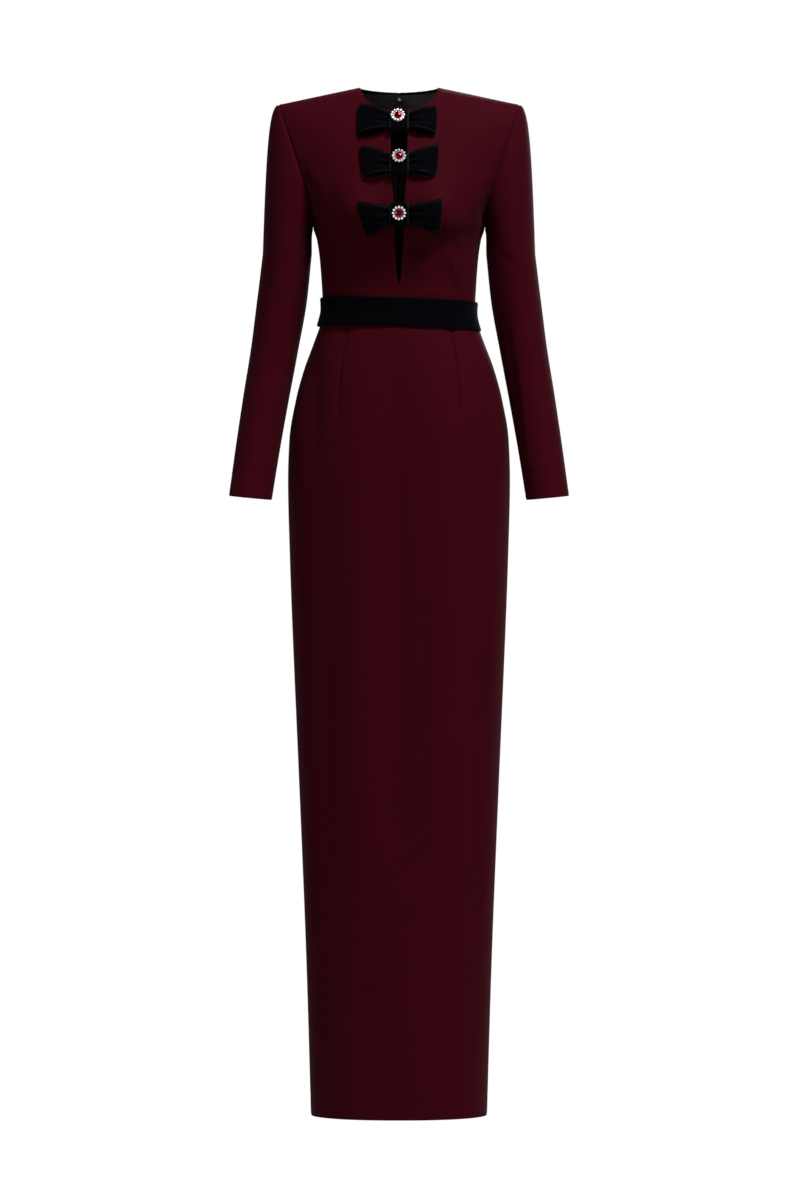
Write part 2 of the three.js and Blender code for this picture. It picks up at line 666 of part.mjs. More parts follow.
function broochPieces(group, row, seat) {
  const lean = leanOf(group);
  const jewel = new THREE.Group();
  const stand = seat + knot.deep + seamGap;
  const up = (row.broochZ - middleZ(group) - stand * outZ(group)) / lean;
  jewel.position.set(row.broochX, up, stand);
  group.add(jewel);
  const { discRadius, discThick, stoneRadius, stoneHigh, collet } = brooch;
  const colletRadius = stoneRadius + collet;
  const disc = [
    [0, 0],
    [discRadius, 0],
    [discRadius, discThick],
    [colletRadius, discThick],
    [colletRadius, discThick + 1.4],
    [stoneRadius + seamGap, discThick + 1.4],
    [stoneRadius + seamGap, discThick],
    [0, discThick],
  ];
  addPiece(`brooch_${row.bow}_setting`, turned(disc, 18), silver, jewel);
  const foot = discThick + seamGap;
  const stone = [[0, foot], [stoneRadius, foot], [stoneRadius, foot + 1.1]];
  levelSteps(0.25, 1, 3).forEach((share) => {
    const angle = (share * Math.PI) / 2;
    stone.push([stoneRadius * Math.cos(angle), foot + 1.1 + (stoneHigh - 1.1) * Math.sin(angle)]);
  });
  stone[stone.length - 1][0] = 0;
  addPiece(`brooch_${row.bow}_stone`, turned(stone, 12), garnet, jewel);
  const inner = colletRadius + seamGap;
  const band = [
    [inner, foot],
    [crystal.ringRadius + 1, foot],
    [crystal.ringRadius + 1, foot + 1],
    [inner, foot + 1],
    [inner, foot],
  ];
  let ring = asSolid(turned(band, 18));
  for (let i = 0; i < crystal.count; i += 1) {
    const angle = (2 * Math.PI * i) / crystal.count;
    const ball = new THREE.SphereGeometry(crystal.radius, 6, 4).rotateX(Math.PI / 2);
    ball.scale(1, 1, 0.75);
    ball.translate(crystal.ringRadius * Math.cos(angle), crystal.ringRadius * Math.sin(angle), 0);
    ball.translate(0, 0, foot + crystal.radius * 0.75);
    ring = ring.add(asSolid(ball));
  }
  addPiece(`brooch_${row.bow}_crystals`, asGeometry(ring), clear, jewel);
}

// A ball button on the lining just inside the back neck, and the thread loop round its foot.
function neckButton() {
  const wallIn = clothThick + seamGap + liningThick;
  const group = surfaceFrame("back", button.topZ, button.bottomZ, wallIn);
  const loop = new THREE.TorusGeometry(button.loopRadius, button.loopThick, 6, 16);
  loop.translate(0, 0, -button.loopThick - 0.8);
  addPiece("button_loop", loop, black, group);
  const ball = new THREE.SphereGeometry(button.radius, 12, 8);
  ball.translate(0, 0, -button.radius - 0.5);
  addPiece("neck_button", ball, black, group);
}

// The pull of the concealed zip: a drop-shaped plate with an eye, hanging on the centre back.
function zipPullPiece() {
  const { half, eye, thick, topZ, bottomZ, standOff } = zipPull;
  const group = surfaceFrame("back", topZ, bottomZ);
  const halfLong = (topZ - bottomZ) / leanOf(group) / 2;
  const drop = new THREE.Shape();
  drop.absarc(0, half - halfLong, half, Math.PI, 2 * Math.PI);
  drop.absarc(0, halfLong - half * 0.5, half * 0.5, 0, Math.PI);
  drop.holes.push(new THREE.Path().absarc(0, half - halfLong, eye, 0, 2 * Math.PI, true));
  const plate = new THREE.ExtrudeGeometry(drop, { depth: thick, bevelEnabled: false, curveSegments: 8 });
  addPiece("zip_pull", plate.translate(0, 0, standOff), black, group);
}

const fronts = [
  bodicePiece("bodice_front_left", "front", -1),
  bodicePiece("bodice_front_right", "front", 1),
];
bodicePiece("bodice_back_left", "back", -1);
bodicePiece("bodice_back_right", "back", 1);
liningPiece("lining_back_left", -1);
liningPiece("lining_back_right", 1);
sleevePiece("sleeve_left", -1);
sleevePiece("sleeve_right", 1);
skirtFront();
skirtBack("skirt_back_left", -1);
skirtBack("skirt_back_right", 1);
beltPiece();
gown.updateMatrixWorld(true);
knotRows.forEach((knotRow) => {
  const group = bowFrame(knotRow);
  const seat = knotSeat(group, fronts, knotRow);
  const loops = bowLoops.filter((row) => row.bow === knotRow.bow);
  loops.forEach((row) => bowLoop(group, fronts, row, knotRow, seat));
  bowKnot(group, knotRow, seat);
  broochPieces(group, knotRow, seat);
});
neckButton();
zipPullPiece();

export default gown;
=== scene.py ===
import math

import bpy
import numpy as np
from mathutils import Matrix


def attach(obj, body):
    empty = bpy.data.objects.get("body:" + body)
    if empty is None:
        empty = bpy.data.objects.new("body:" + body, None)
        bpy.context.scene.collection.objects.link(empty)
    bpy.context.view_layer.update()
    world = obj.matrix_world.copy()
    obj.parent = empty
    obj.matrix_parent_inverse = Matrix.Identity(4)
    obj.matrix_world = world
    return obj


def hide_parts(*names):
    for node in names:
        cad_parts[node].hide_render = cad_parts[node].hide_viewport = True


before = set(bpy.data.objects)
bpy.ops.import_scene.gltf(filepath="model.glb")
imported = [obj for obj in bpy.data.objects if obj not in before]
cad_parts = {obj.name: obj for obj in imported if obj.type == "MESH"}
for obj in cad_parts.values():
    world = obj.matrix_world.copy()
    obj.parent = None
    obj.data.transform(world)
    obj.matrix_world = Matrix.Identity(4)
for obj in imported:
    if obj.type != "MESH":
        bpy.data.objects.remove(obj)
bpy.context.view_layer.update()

scene = bpy.context.scene

# A long column gown, filled out as if worn. All tables are in millimetres, as in the CAD model, and
# turn into metres when a mesh is made. +Z is up and the front faces -Y.
metresPerMm = 0.001
seamGap = 0.04
centreLap = 0.06
clothThick = 1.6
shoulder = {"neckX": 58.5, "neckZ": 14.2, "tipX": 181, "tipZ": -11.5}
neckDrop = {"front": 39.5, "back": 2.7}
underarmZ = -196
slitTipZ = -286
waistZ = -322
hemZ = -1525.5
armholeDepth = {"front": 48, "back": 52}
armholeMidZ = -106
armholeRound = {"foot": 1.1, "shoulder": 0.5, "skew": 0.7, "even": 34}
bust = {"x": 64, "z": -183, "forward": 18, "wide": 38, "tall": 42}
# The body's section: its turn in degrees and its power low down and at the shoulder, and where the
# cloth beside the armhole is evened out.
section = {
    "turn": (90, 62), "turnOver": 0.45, "power": (0.91, 1), "squareZ": -260,
    "evenFrom": 0.3, "evenOver": 0.4, "nearEdge": 6,
}
facingOf = {"front": -1, "back": 1}
sideNames = {-1: "left", 1: "right"}
halvings = 40

# Body by height: half width, and the depths at the centre front and centre back.
bodyNames = ("z", "half", "front", "back")
bodyRows = [
    (-1525.5, 132, 98, 106), (-1294, 138.8, 101, 107), (-1054, 148.5, 104, 109), (-814, 159, 106, 113),
    (-694, 163.5, 106.5, 117), (-574, 166.4, 105, 121), (-514, 164.4, 103.5, 120), (-454, 154.6, 101, 113),
    (-409, 142.6, 97, 102), (-364, 125.8, 90, 87), (-340, 117.4, 85.5, 79.5), (-322, 113.8, 84, 77),
    (-291, 115.2, 85, 78), (-244, 118.6, 94, 83.5), (-214, 123, 102, 88), (-196, 128.4, 105.5, 91),
    (-172, 129.8, 107, 95), (-150, 136, 105, 98.5), (-127, 143.5, 99, 100), (-100, 152.4, 88, 97),
    (-75, 160.8, 76, 87), (-60, 165.8, 68, 78), (-43, 170.9, 58, 65), (-27.5, 175.9, 46, 50),
    (-19.5, 178.4, 36, 38), (-13.8, 180.2, 20, 21), (-11.5, 181, 0, 0),
]
slitRows = [
    (slitTipZ - 1, seamGap / 2), (slitTipZ, seamGap / 2), (-281.5, 1.5), (-277, 2.3), (-268, 3.3),
    (-251, 4.8), (-238, 5.7), (-203, 6.9), (-164, 8), (-124, 11.1), (-60, 12.6), (0, 12.8),
]


# Straight from start to end, by share.
def mix(start, end, share):
    return start + (end - start) * share


# Smooth step from 0 to 1.
def smooth(value):
    value = np.clip(value, 0, 1)
    return value * value * (3 - 2 * value)


# A bell that is 1 at no distance and falls off over its width.
def bell(distance, width):
    return np.exp(-(distance / width) ** 2)


# Halves the way between low and high again and again, towards the place where a test stops holding.
def halving(low, high, holds):
    for _ in range(halvings):
        middle = (low + high) / 2
        inside = holds(middle)
        low, high = np.where(inside, middle, low), np.where(inside, high, middle)
    return low


# Smooth curve through a table that never overshoots: cubic pieces with harmonic mean slopes.
def curveThrough(inputs, outputs):
    order = np.argsort(inputs)
    at = np.array(inputs, float)[order]
    to = np.array(outputs, float)[order]
    rise = np.diff(to) / np.diff(at)
    slope = np.concatenate([rise[:1], rise])
    before, after = rise[:-1], rise[1:]
    alike = before * after > 0
    slope[1:-1] = np.where(alike, 2 * before * after / np.where(alike, before + after, 1), 0)

    def valueAt(place):
        place = np.clip(place, at[0], at[-1])
        i = np.clip(np.searchsorted(at, place, side="right") - 1, 0, len(at) - 2)
        width = at[i + 1] - at[i]
        t = (place - at[i]) / width
        low = to[i] * (1 + 2 * t) * (1 - t) ** 2 + slope[i] * width * t * (1 - t) ** 2
        return low + to[i + 1] * t * t * (3 - 2 * t) + slope[i + 1] * width * t * t * (t - 1)

    return valueAt


# The cloth rolls over the shoulder as the root of the depth below it.
def rootDepth(z):
    return np.sqrt(np.maximum(shoulder["tipZ"] - np.asarray(z, float), 0))


bodyTable = dict(zip(bodyNames, np.array(bodyRows).T))
bodyCurves = {key: curveThrough(rootDepth(bodyTable["z"]), bodyTable[key]) for key in bodyNames[1:]}
slitAt = curveThrough(*np.array(slitRows).T)


# Half the body's width at a level.
def halfAt(level):
    return bodyCurves["half"](rootDepth(level))


# Depth from the side plane to the body's centre line in front or behind.
def centreDepth(face, level):
    return bodyCurves[face](rootDepth(level))


# How far a level is from the underarm, 0, to the shoulder tip, 1.
def armShare(level):
    return np.clip((level - underarmZ) / (shoulder["tipZ"] - underarmZ), 0, 1)


# Height of the shoulder seam: a straight slope from the neck point to the tip.
def shoulderZ(x):
    out = (np.abs(x) - shoulder["neckX"]) / (shoulder["tipX"] - shoulder["neckX"])
    return mix(shoulder["neckZ"], shoulder["tipZ"], out)


# Above the underarm a level line rises with the shoulder seam; below it is flat.
def heightAt(x, level):
    return np.where(level <= underarmZ, level, mix(underarmZ, shoulderZ(x), armShare(level)))


# The level of a height, which is heightAt turned round.
def levelAt(x, z):
    share = (z - underarmZ) / (shoulderZ(x) - underarmZ)
    return np.where(z <= underarmZ, z, mix(underarmZ, shoulder["tipZ"], np.minimum(share, 1)))


# How far the section turns towards the side, in radians.
def turnAt(level):
    return np.radians(mix(*section["turn"], smooth(armShare(level) / section["turnOver"])))


# Power of the section: slightly squarer than an ellipse low down, an ellipse from the underarm up.
def squareness(level):
    rise = (level - section["squareZ"]) / (underarmZ - section["squareZ"])
    return mix(*section["power"], smooth(rise))


# Half depth of the armhole edge: the root of a sine of its height.
def armEdge(face, level):
    share = armShare(level)
    inside = (share > 0) & (share < 1)
    power = mix(armholeRound["foot"], armholeRound["shoulder"], smooth(2 * share))
    rounded = np.sin(np.pi * np.where(inside, share, 0.5) ** armholeRound["skew"]) ** power
    return np.where(inside, armholeDepth[face] * rounded, 0)


# The armhole edge's half depth as a weighted mean of the heights around, so that the cloth beside
# the foot of the armhole stays even.
def evenEdge(face, level):
    steps = np.linspace(-1, 1, 11)
    weights = np.exp(-2 * steps ** 2)
    edges = [armEdge(face, level + armholeRound["even"] * step) for step in steps]
    return sum(weight * edge for weight, edge in zip(weights, edges)) / weights.sum()


# Depth of the cloth from the side plane: a rounded section between the centre and the armhole edge,
# plus the two mounds of the bust.
def depthAt(face, x, level):
    turn = turnAt(level)
    power = squareness(level)
    across = np.minimum(np.abs(x) / halfAt(level), 1)
    angle = np.arcsin(np.minimum(across ** (1 / power) * np.sin(turn), np.sin(turn)))
    share = np.maximum((np.cos(angle) - np.cos(turn)) / (1 - np.cos(turn)), 0) ** power
    edge = armEdge(face, level)
    near = (1 - share) ** section["nearEdge"]
    low = 1 - smooth((armShare(level) - section["evenFrom"]) / section["evenOver"])
    edge = mix(edge, evenEdge(face, level), low * (1 - near))
    depth = mix(edge, centreDepth(face, level), share)
    if face == "back":
        return depth
    overX = (np.abs(x) - bust["x"]) / bust["wide"]
    overZ = (heightAt(x, level) - bust["z"]) / bust["tall"]
    return depth + bust["forward"] * np.exp(-overX * overX - overZ * overZ) * (1 - across ** 4)


# Distance from the centre at a share of the section's turn: the sine of the angle.
def acrossAt(share, level):
    turn = turnAt(level)
    return halfAt(level) * (np.sin(share * turn) / np.sin(turn)) ** squareness(level)


# The share of the turn at a distance from the centre, which is acrossAt turned round.
def shareAt(x, level):
    across = (x / halfAt(level)) ** (1 / squareness(level))
    return np.arcsin(across * np.sin(turnAt(level))) / turnAt(level)


# The neckline: half an ellipse in front, a parabola behind.
def neckHeight(face, x):
    out = np.minimum((x / shoulder["neckX"]) ** 2, 1)
    drop = np.sqrt(1 - out) if face == "front" else 1 - out
    return shoulder["neckZ"] - neckDrop[face] * drop


print("column gown: finishes")


# Values on a node's inputs, by their names.
def setInputs(node, values):
    for key, value in values.items():
        node.inputs[key].default_value = value


# A new node of a tree, with values on its inputs.
def addNode(tree, kind, values=None):
    node = tree.nodes.new("ShaderNode" + kind)
    setInputs(node, values or {})
    return node


# Links nodes by rows of a node, its output, the next node and its input.
def addLinks(tree, rows):
    for source, output, target, entry in rows:
        tree.links.new(source.outputs[output], target.inputs[entry])


# A material with nodes, as its tree and its shader, with values on the shader's inputs.
def newMaterial(name, values):
    material = bpy.data.materials.new(name)
    material.use_nodes = True
    shader = material.node_tree.nodes["Principled BSDF"]
    setInputs(shader, values)
    return material, material.node_tree, shader


# A fabric finish: one colour with faint cloudy patches, a woven or piled relief and a soft sheen.
def fabricFinish(name, look):
    material, tree, shader = newMaterial(name, {
        "Roughness": look["roughness"], "Specular IOR Level": look["specular"],
        "Sheen Weight": look["sheen"], "Sheen Roughness": look["sheenRoughness"],
        "Sheen Tint": (*look["sheenTint"], 1),
    })
    place = addNode(tree, "TexCoord")
    patches = addNode(tree, "TexNoise", {"Scale": look["patchScale"], "Detail": 3})
    tone = addNode(tree, "Mix")
    tone.data_type = "RGBA"
    low = [value * (1 - look["patchDepth"]) for value in look["colour"]]
    high = [value * (1 + look["patchDepth"]) for value in look["colour"]]
    setInputs(tone, {"A": (*low, 1), "B": (*high, 1)})
    grain = addNode(tree, "TexNoise", {"Scale": look["grainScale"], "Detail": 2})
    relief = addNode(tree, "Bump", {"Strength": look["grainStrength"], "Distance": look["grainDepth"]})
    addLinks(tree, [
        (place, "Object", patches, "Vector"), (place, "Object", grain, "Vector"),
        (patches, "Fac", tone, "Factor"), (tone, "Result", shader, "Base Color"),
        (grain, "Fac", relief, "Height"), (relief, "Normal", shader, "Normal"),
    ])
    return material


# A hard finish: smooth metal, glass or foil-backed stone, with fine wear in its roughness.
def hardFinish(name, look):
    material, tree, shader = newMaterial(name, {
        "Base Color": (*look["colour"], 1), "Metallic": look["metallic"],
        "Coat Weight": look.get("coat", 0), "Coat Roughness": 0.03,
    })
    place = addNode(tree, "TexCoord")
    wear = addNode(tree, "TexNoise", {"Scale": 260})
    rough = look["roughness"]
    spread = addNode(tree, "MapRange", {"To Min": rough * 0.7, "To Max": rough * 1.3})
    addLinks(tree, [
        (place, "Object", wear, "Vector"), (wear, "Fac", spread, "Value"),
        (spread, "Result", shader, "Roughness"),
    ])
    return material


crepe = fabricFinish("crepe", {
    "colour": (0.0077, 0.00016, 0.0009), "roughness": 0.7, "specular": 0.004, "sheen": 0.0026,
    "sheenRoughness": 0.6, "sheenTint": (1.0, 0.62, 0.7), "patchScale": 9, "patchDepth": 0.07,
    "grainScale": 1500, "grainStrength": 0.35, "grainDepth": 0.0004,
})
sheenless = {"sheen": 0.0, "sheenRoughness": 0.5, "sheenTint": (1, 1, 1), "grainDepth": 0.0002}
lining = fabricFinish("lining", {
    **sheenless, "colour": (0.0013, 0.0012, 0.0012), "roughness": 0.4, "specular": 0.04,
    "patchScale": 14, "patchDepth": 0.05, "grainScale": 1800, "grainStrength": 0.2,
})
# A lighter copy of the black lining: painted light on the inside of the back neck, where light falls in
# through the neck.
paintedLitLining = fabricFinish("lining_painted_light", {
    **sheenless, "colour": (0.034, 0.032, 0.032), "roughness": 0.45, "specular": 0.05,
    "patchScale": 60, "patchDepth": 0.25, "grainScale": 1800, "grainStrength": 0.2,
})
velvet = fabricFinish("velvet", {
    "colour": (0.0003, 0.0003, 0.0005), "roughness": 0.9, "specular": 0.002, "sheen": 0.010,
    "sheenRoughness": 0.35, "sheenTint": (0.8, 0.88, 0.98), "patchScale": 70, "patchDepth": 0.3,
    "grainScale": 2200, "grainStrength": 0.5, "grainDepth": 0.0004,
})
velvetEdge = fabricFinish("velvet_edge", {
    "colour": (0.0009, 0.0010, 0.0014), "roughness": 0.6, "specular": 0.01, "sheen": 0.012,
    "sheenRoughness": 0.4, "sheenTint": (0.8, 0.86, 1.0), "patchScale": 90, "patchDepth": 0.2,
    "grainScale": 2600, "grainStrength": 0.5, "grainDepth": 0.0003,
})
satin = fabricFinish("satin", {
    **sheenless, "colour": (0.006, 0.006, 0.007), "roughness": 0.45, "specular": 0.15,
    "patchScale": 60, "patchDepth": 0.1, "grainScale": 2400, "grainStrength": 0.25,
})
silver = hardFinish("silver", {"colour": (0.14, 0.125, 0.13), "metallic": 1, "roughness": 0.4})
clear = hardFinish("crystal", {"colour": (0.75, 0.69, 0.71), "metallic": 0.9, "roughness": 0.2})
garnet = hardFinish("red_stone", {"colour": (0.08, 0.0003, 0.0028), "metallic": 0.95, "roughness": 0.1})
lacquer = hardFinish("dark_metal", {
    "colour": (0.03, 0.002, 0.006), "metallic": 0.4, "coat": 0.5, "roughness": 0.3,
})


# A new object in the scene.
def addObject(name, data):
    made = bpy.data.objects.new(name, data)
    scene.collection.objects.link(made)
    return made


# An object from points in millimetres and faces, with a finish number for each face.
def makeObject(name, points, faces, finishes, faceFinish=None, sharpAngle=50):
    faces = np.asarray(faces)
    corners = faces.shape[1]
    a, b, c = points[faces[:, 0]], points[faces[:, 1]], points[faces[:, 2]]
    volume = np.einsum("ij,ij->i", a, np.cross(b, c)).sum()
    if corners == 4:
        d = points[faces[:, 3]]
        volume += np.einsum("ij,ij->i", a, np.cross(c, d)).sum()
    if volume < 0:
        faces = faces[:, ::-1]
    mesh = bpy.data.meshes.new(name)
    mesh.vertices.add(len(points))
    mesh.vertices.foreach_set("co", (points * metresPerMm).astype(np.float32).ravel())
    mesh.loops.add(faces.size)
    mesh.loops.foreach_set("vertex_index", faces.astype(np.int32).ravel())
    mesh.polygons.add(len(faces))
    mesh.polygons.foreach_set("loop_start", np.arange(0, faces.size, corners, dtype=np.int32))
    for finish in finishes:
        mesh.materials.append(finish)
    if faceFinish is not None:
        mesh.polygons.foreach_set("material_index", np.asarray(faceFinish, np.int32))
    mesh.update(calc_edges=True)
    mesh.polygons.foreach_set("use_smooth", np.ones(len(faces), bool))
    mesh.set_sharp_from_angle(angle=math.radians(sharpAngle))
    return addObject(name, mesh)


# Faces between the points of a grid that is given as a grid of point numbers.
def gridFaces(index):
    return np.stack([index[:-1, :-1], index[1:, :-1], index[1:, 1:], index[:-1, 1:]], -1).reshape(-1, 4)


# Closed wall between two grids of points: both faces, then a rim along each free edge. Finish 0
# is outside and on the rim and finish 1 inside, unless outFinish or inFinish gives one for each face.
def makeWall(name, outer, inner, finishes, wrap=False, outFinish=None, inFinish=None):
    columns, rows = outer.shape[:2]
    index = np.arange(columns * rows).reshape(columns, rows)
    if wrap:
        index = np.vstack([index, index[:1]])
    back = index + columns * rows

    def rim(edge):
        front, behind = index[edge], back[edge]
        return np.stack([front[1:], front[:-1], behind[:-1], behind[1:]], -1)

    outside, inside = gridFaces(index), gridFaces(back)[:, ::-1]
    rims = [rim((slice(None), 0)), rim((slice(None), -1))[:, ::-1]]
    if not wrap:
        rims += [rim((0, slice(None)))[:, ::-1], rim((-1, slice(None)))]
    rims = np.vstack(rims)
    faces = np.vstack([outside, inside, rims])
    outFinish = np.zeros(len(outside)) if outFinish is None else outFinish
    inFinish = np.full(len(inside), min(1, len(finishes) - 1)) if inFinish is None else inFinish
    faceFinish = np.concatenate([outFinish, inFinish, np.zeros(len(rims))])
    points = np.vstack([outer.reshape(-1, 3), inner.reshape(-1, 3)])
    return makeObject(name, points, faces, finishes, faceFinish)


# Vectors brought to a length of one.
def unit(vectors):
    return vectors / np.maximum(np.linalg.norm(vectors, axis=-1, keepdims=True), 1e-9)


# Unit normals of a grid, by the differences between neighbours, facing along hint in its middle.
def gridNormals(points, hint, wrap=False):
    if wrap:
        across = np.roll(points, -1, 0) - np.roll(points, 1, 0)
    else:
        across = np.gradient(points, axis=0)
    normals = unit(np.cross(across, np.gradient(points, axis=1)))
    middle = normals[points.shape[0] // 2, points.shape[1] // 2]
    return normals if middle @ np.asarray(hint, float) > 0 else -normals


# Distance of each grid point from the grid's four edges, along the grid lines.
def edgeDistances(points):
    def along(axis):
        steps = np.linalg.norm(np.diff(points, axis=axis), axis=-1)
        return np.concatenate([np.zeros_like(np.take(steps, [0], axis)), np.cumsum(steps, axis)], axis)

    across, up = along(0), along(1)
    return {"first": across, "last": across[-1:] - across, "low": up, "high": up[:, -1:] - up}


creaseFade = 0.7


# Soft creases, from rows of the two ends of a line, width, height and bow. Each one rises by its
# height as a bell over its width and fades to nothing at both ends, and its bow bends the line
# sideways by half a sine wave.
def creaseHeight(across, up, rows):
    total = np.zeros(np.broadcast(across, up).shape)
    for startX, startZ, endX, endZ, width, height, bow in rows:
        length = math.hypot(endX - startX, endZ - startZ)
        alongX, alongZ = (endX - startX) / length, (endZ - startZ) / length
        along = ((across - startX) * alongX + (up - startZ) * alongZ) / length
        side = (across - startX) * alongZ - (up - startZ) * alongX
        inside = np.clip(along, 0, 1)
        side = side - bow * np.sin(np.pi * inside)
        total += height * np.sin(np.pi * inside) ** creaseFade * bell(side, width)
    return total


# A ridge beside a seam: its place and its width, both in widths of the seam.
ridgeAt = 2.4
ridgeWidth = 1.1


# A seam or fold at an edge: the cloth dips towards it as a bell, beside a faint ridge.
def edgeRelief(distance, dip, width, ridge=0.0):
    bank = bell(distance - ridgeAt * width, ridgeWidth * width)
    return ridge * bank - dip * bell(distance, width)


# A line of hidden stitches: a shallow groove at a distance from the edge.
def stitchLine(distance, at, width, depth):
    return depth * bell(distance - at, width)


# Relief moves the cloth bodily and fades to nothing near the edges named in held.
def raised(points, normals, height, held, fadeOver=16):
    distances = edgeDistances(points)
    for edge in held:
        height = height * smooth(distances[edge] / fadeOver)
    return points + normals * height[..., None]


seamEdge = {"dip": 0.75, "width": 1.7, "ridge": 0.22}
cleanEdge = {"dip": 0.45, "width": 0.9, "ridge": 0.0}
underarmSeam = {"dip": 0.4, "width": 1.6, "ridge": 0.1}


# The relief of several edges of a grid together.
def edgeDips(points, edges):
    distances = edgeDistances(points)
    return sum(edgeRelief(distances[edge], **kind) for edge, kind in edges.items())


# Every piece rides on the one body and stands for one CAD node.
def rideAs(piece, node):
    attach(piece, "root")
    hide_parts(node)


# A cloth of the gown, which stands for the CAD node of its name.
def addCloth(node, slot, held, outer, inner, finishes, wrap=False, **faceFinishes):
    ending = "velvet" if slot == "velvet" else "cloth"
    piece = makeWall(f"{node}_{ending}", outer, inner, finishes, wrap, **faceFinishes)
    rideAs(piece, node)


# Steps from 0 to 1 that lie closer together at both ends.
def easedSteps(count):
    return (1 - np.cos(np.linspace(0, np.pi, count + 1))) / 2


print("column gown: bodice")
bodice = {
    "neckColumns": 26, "sideColumns": 48, "lowRows": 42, "armholeRows": 64,
    "neckStitch": {"at": 7, "width": 1.1, "depth": 0.25},
    "frontCreases": [
        (-70, -232, -56, -150, 24, 1.0, 0), (74, -232, 60, -150, 24, 1.0, 0),
        (-104, -150, -90, -250, 9, -1.6, 4), (104, -152, 92, -250, 9, -1.6, -4),
        (76, -244, 99, -298, 4.5, 1.5, 2), (66, -250, 92, -304, 7, -1.2, 2),
        (-60, -262, -104, -300, 8, 1.0, 0), (-44, -226, -30, -262, 17, -2.2, 0),
        (44, -226, 30, -262, 17, -2.2, 0), (-140, -104, -106, -176, 9, 1.8, -4),
        (142, -106, 108, -178, 9, 1.6, 4), (-150, -100, -116, -212, 8, -6.0, 4),
        (150, -102, 118, -210, 8, -5.0, -4), (-122, -150, -86, -206, 8, 2.6, -4),
        (124, -150, 90, -206, 8, 2.2, 4), (-92, -222, -22, -244, 15, -3.4, -8),
        (92, -222, 26, -244, 15, -3.0, 8), (-152, -50, -122, -122, 16, -1.8, -6),
        (152, -50, 124, -122, 16, -1.8, 6), (-40, -300, -90, -296, 5, 0.9, 0),
        (20, -302, 64, -296, 4, 0.7, 0),
    ],
    "backCreases": [
        (-120, -70, -96, -220, 16, -2.4, -6), (120, -74, 98, -222, 16, -2.2, 6),
        (-134, -130, -70, -190, 9, 1.8, 3), (134, -126, 72, -188, 9, 1.8, -3),
        (-104, -262, -38, -290, 7, 1.5, 2), (102, -268, 34, -286, 7, 1.4, -2),
        (-86, -232, -30, -262, 9, -1.5, 0), (84, -228, 28, -256, 9, -1.4, 0),
        (-58, -60, -50, -200, 22, 2.2, 0), (58, -60, 50, -200, 22, 2.2, 0),
    ],
}


# Points of half a bodice: columns from the centre edge to the side, rows from the waist to the
# neckline or shoulder seam. Shares of the turn run from the inner edge to the side.
def bodiceGrid(face, side):
    top = shoulder["tipZ"]
    innerX = slitAt if face == "front" else lambda z: np.full(np.shape(z), seamGap / 2)

    def innerShare(level):
        return shareAt(innerX(heightAt(0, level)), level)

    neckShare = (shareAt(shoulder["neckX"], top) - innerShare(top)) / (1 - innerShare(top))
    columns = np.concatenate([
        np.linspace(0, neckShare, bodice["neckColumns"] + 1),
        np.linspace(neckShare, 1, bodice["sideColumns"] + 1)[1:],
    ])

    def xAt(column, level):
        start = innerShare(level)
        return acrossAt(start + (1 - start) * column, level)

    def belowNeck(level):
        x = xAt(columns, level)
        return heightAt(x, level) < neckHeight(face, x)

    neckLevels = halving(np.full(len(columns), underarmZ), np.full(len(columns), top), belowNeck)
    ends = np.where(np.arange(len(columns)) < bodice["neckColumns"], neckLevels, top)
    lowLevels = np.linspace(waistZ, underarmZ, bodice["lowRows"] + 1)[:-1]
    highLevels = mix(underarmZ, ends[:, None], easedSteps(bodice["armholeRows"])[None])
    levels = np.hstack([np.tile(lowLevels, (len(columns), 1)), highLevels])
    x = xAt(columns[:, None], levels)
    depth = depthAt(face, x, levels) + seamGap / 2
    depth[-1, :bodice["lowRows"]] = -centreLap
    closed = levels[0] <= slitTipZ if face == "front" else levels[0] <= top
    x[0] = np.where(closed, -centreLap, x[0])
    return np.stack([side * x, facingOf[face] * depth, heightAt(x, levels)], -1)


# Directions straight out from the middle of the armhole, in the side plane.
def armholeOut(points):
    return unit(np.stack([0 * points[..., 0], points[..., 1], points[..., 2] - armholeMidZ], -1))


# Along seams the wall is cut square to the seam's plane, so that both sides of it meet.
def squareSeams(points, normals, face):
    lowCount, neck = bodice["lowRows"], bodice["neckColumns"]
    normals[:, 0, 2] = 0
    normals[neck:, -1, 1] = 0
    normals[-1, :lowCount, 1] = 0
    normals[-1, lowCount:] = armholeOut(points[-1, lowCount:])
    if face == "back":
        normals[0, :, 0] = 0
    return unit(normals)


# Half a front or back: its grid with creases, dips at its seams and a stitch line below the neck.
def bodicePiece(face, side):
    flat = bodiceGrid(face, side)
    hint = (0, facingOf[face], 0)
    height = creaseHeight(flat[..., 0], flat[..., 2], bodice[face + "Creases"])
    points = raised(flat, gridNormals(flat, hint), height, ["last", "high", "first"])
    normals = squareSeams(points, gridNormals(points, hint), face)
    inside = points - normals * clothThick
    edges = {"last": seamEdge, "first": cleanEdge if face == "front" else seamEdge}
    dips = edgeDips(points, edges)
    fromTop = edgeDistances(points)["high"]
    atNeck = np.arange(len(points))[:, None] < bodice["neckColumns"]
    top = np.where(atNeck, edgeRelief(fromTop, **cleanEdge), edgeRelief(fromTop, **seamEdge))
    neckLine = stitchLine(fromTop, **bodice["neckStitch"]) * atNeck
    outside = points + normals * (dips + top - neckLine)[..., None]
    addCloth(f"bodice_{face}_{sideNames[side]}", "crepe", "hung", outside, inside, [crepe, lining])
    return points, normals


bodices = {(face, side): bodicePiece(face, side) for face in facingOf for side in sideNames}

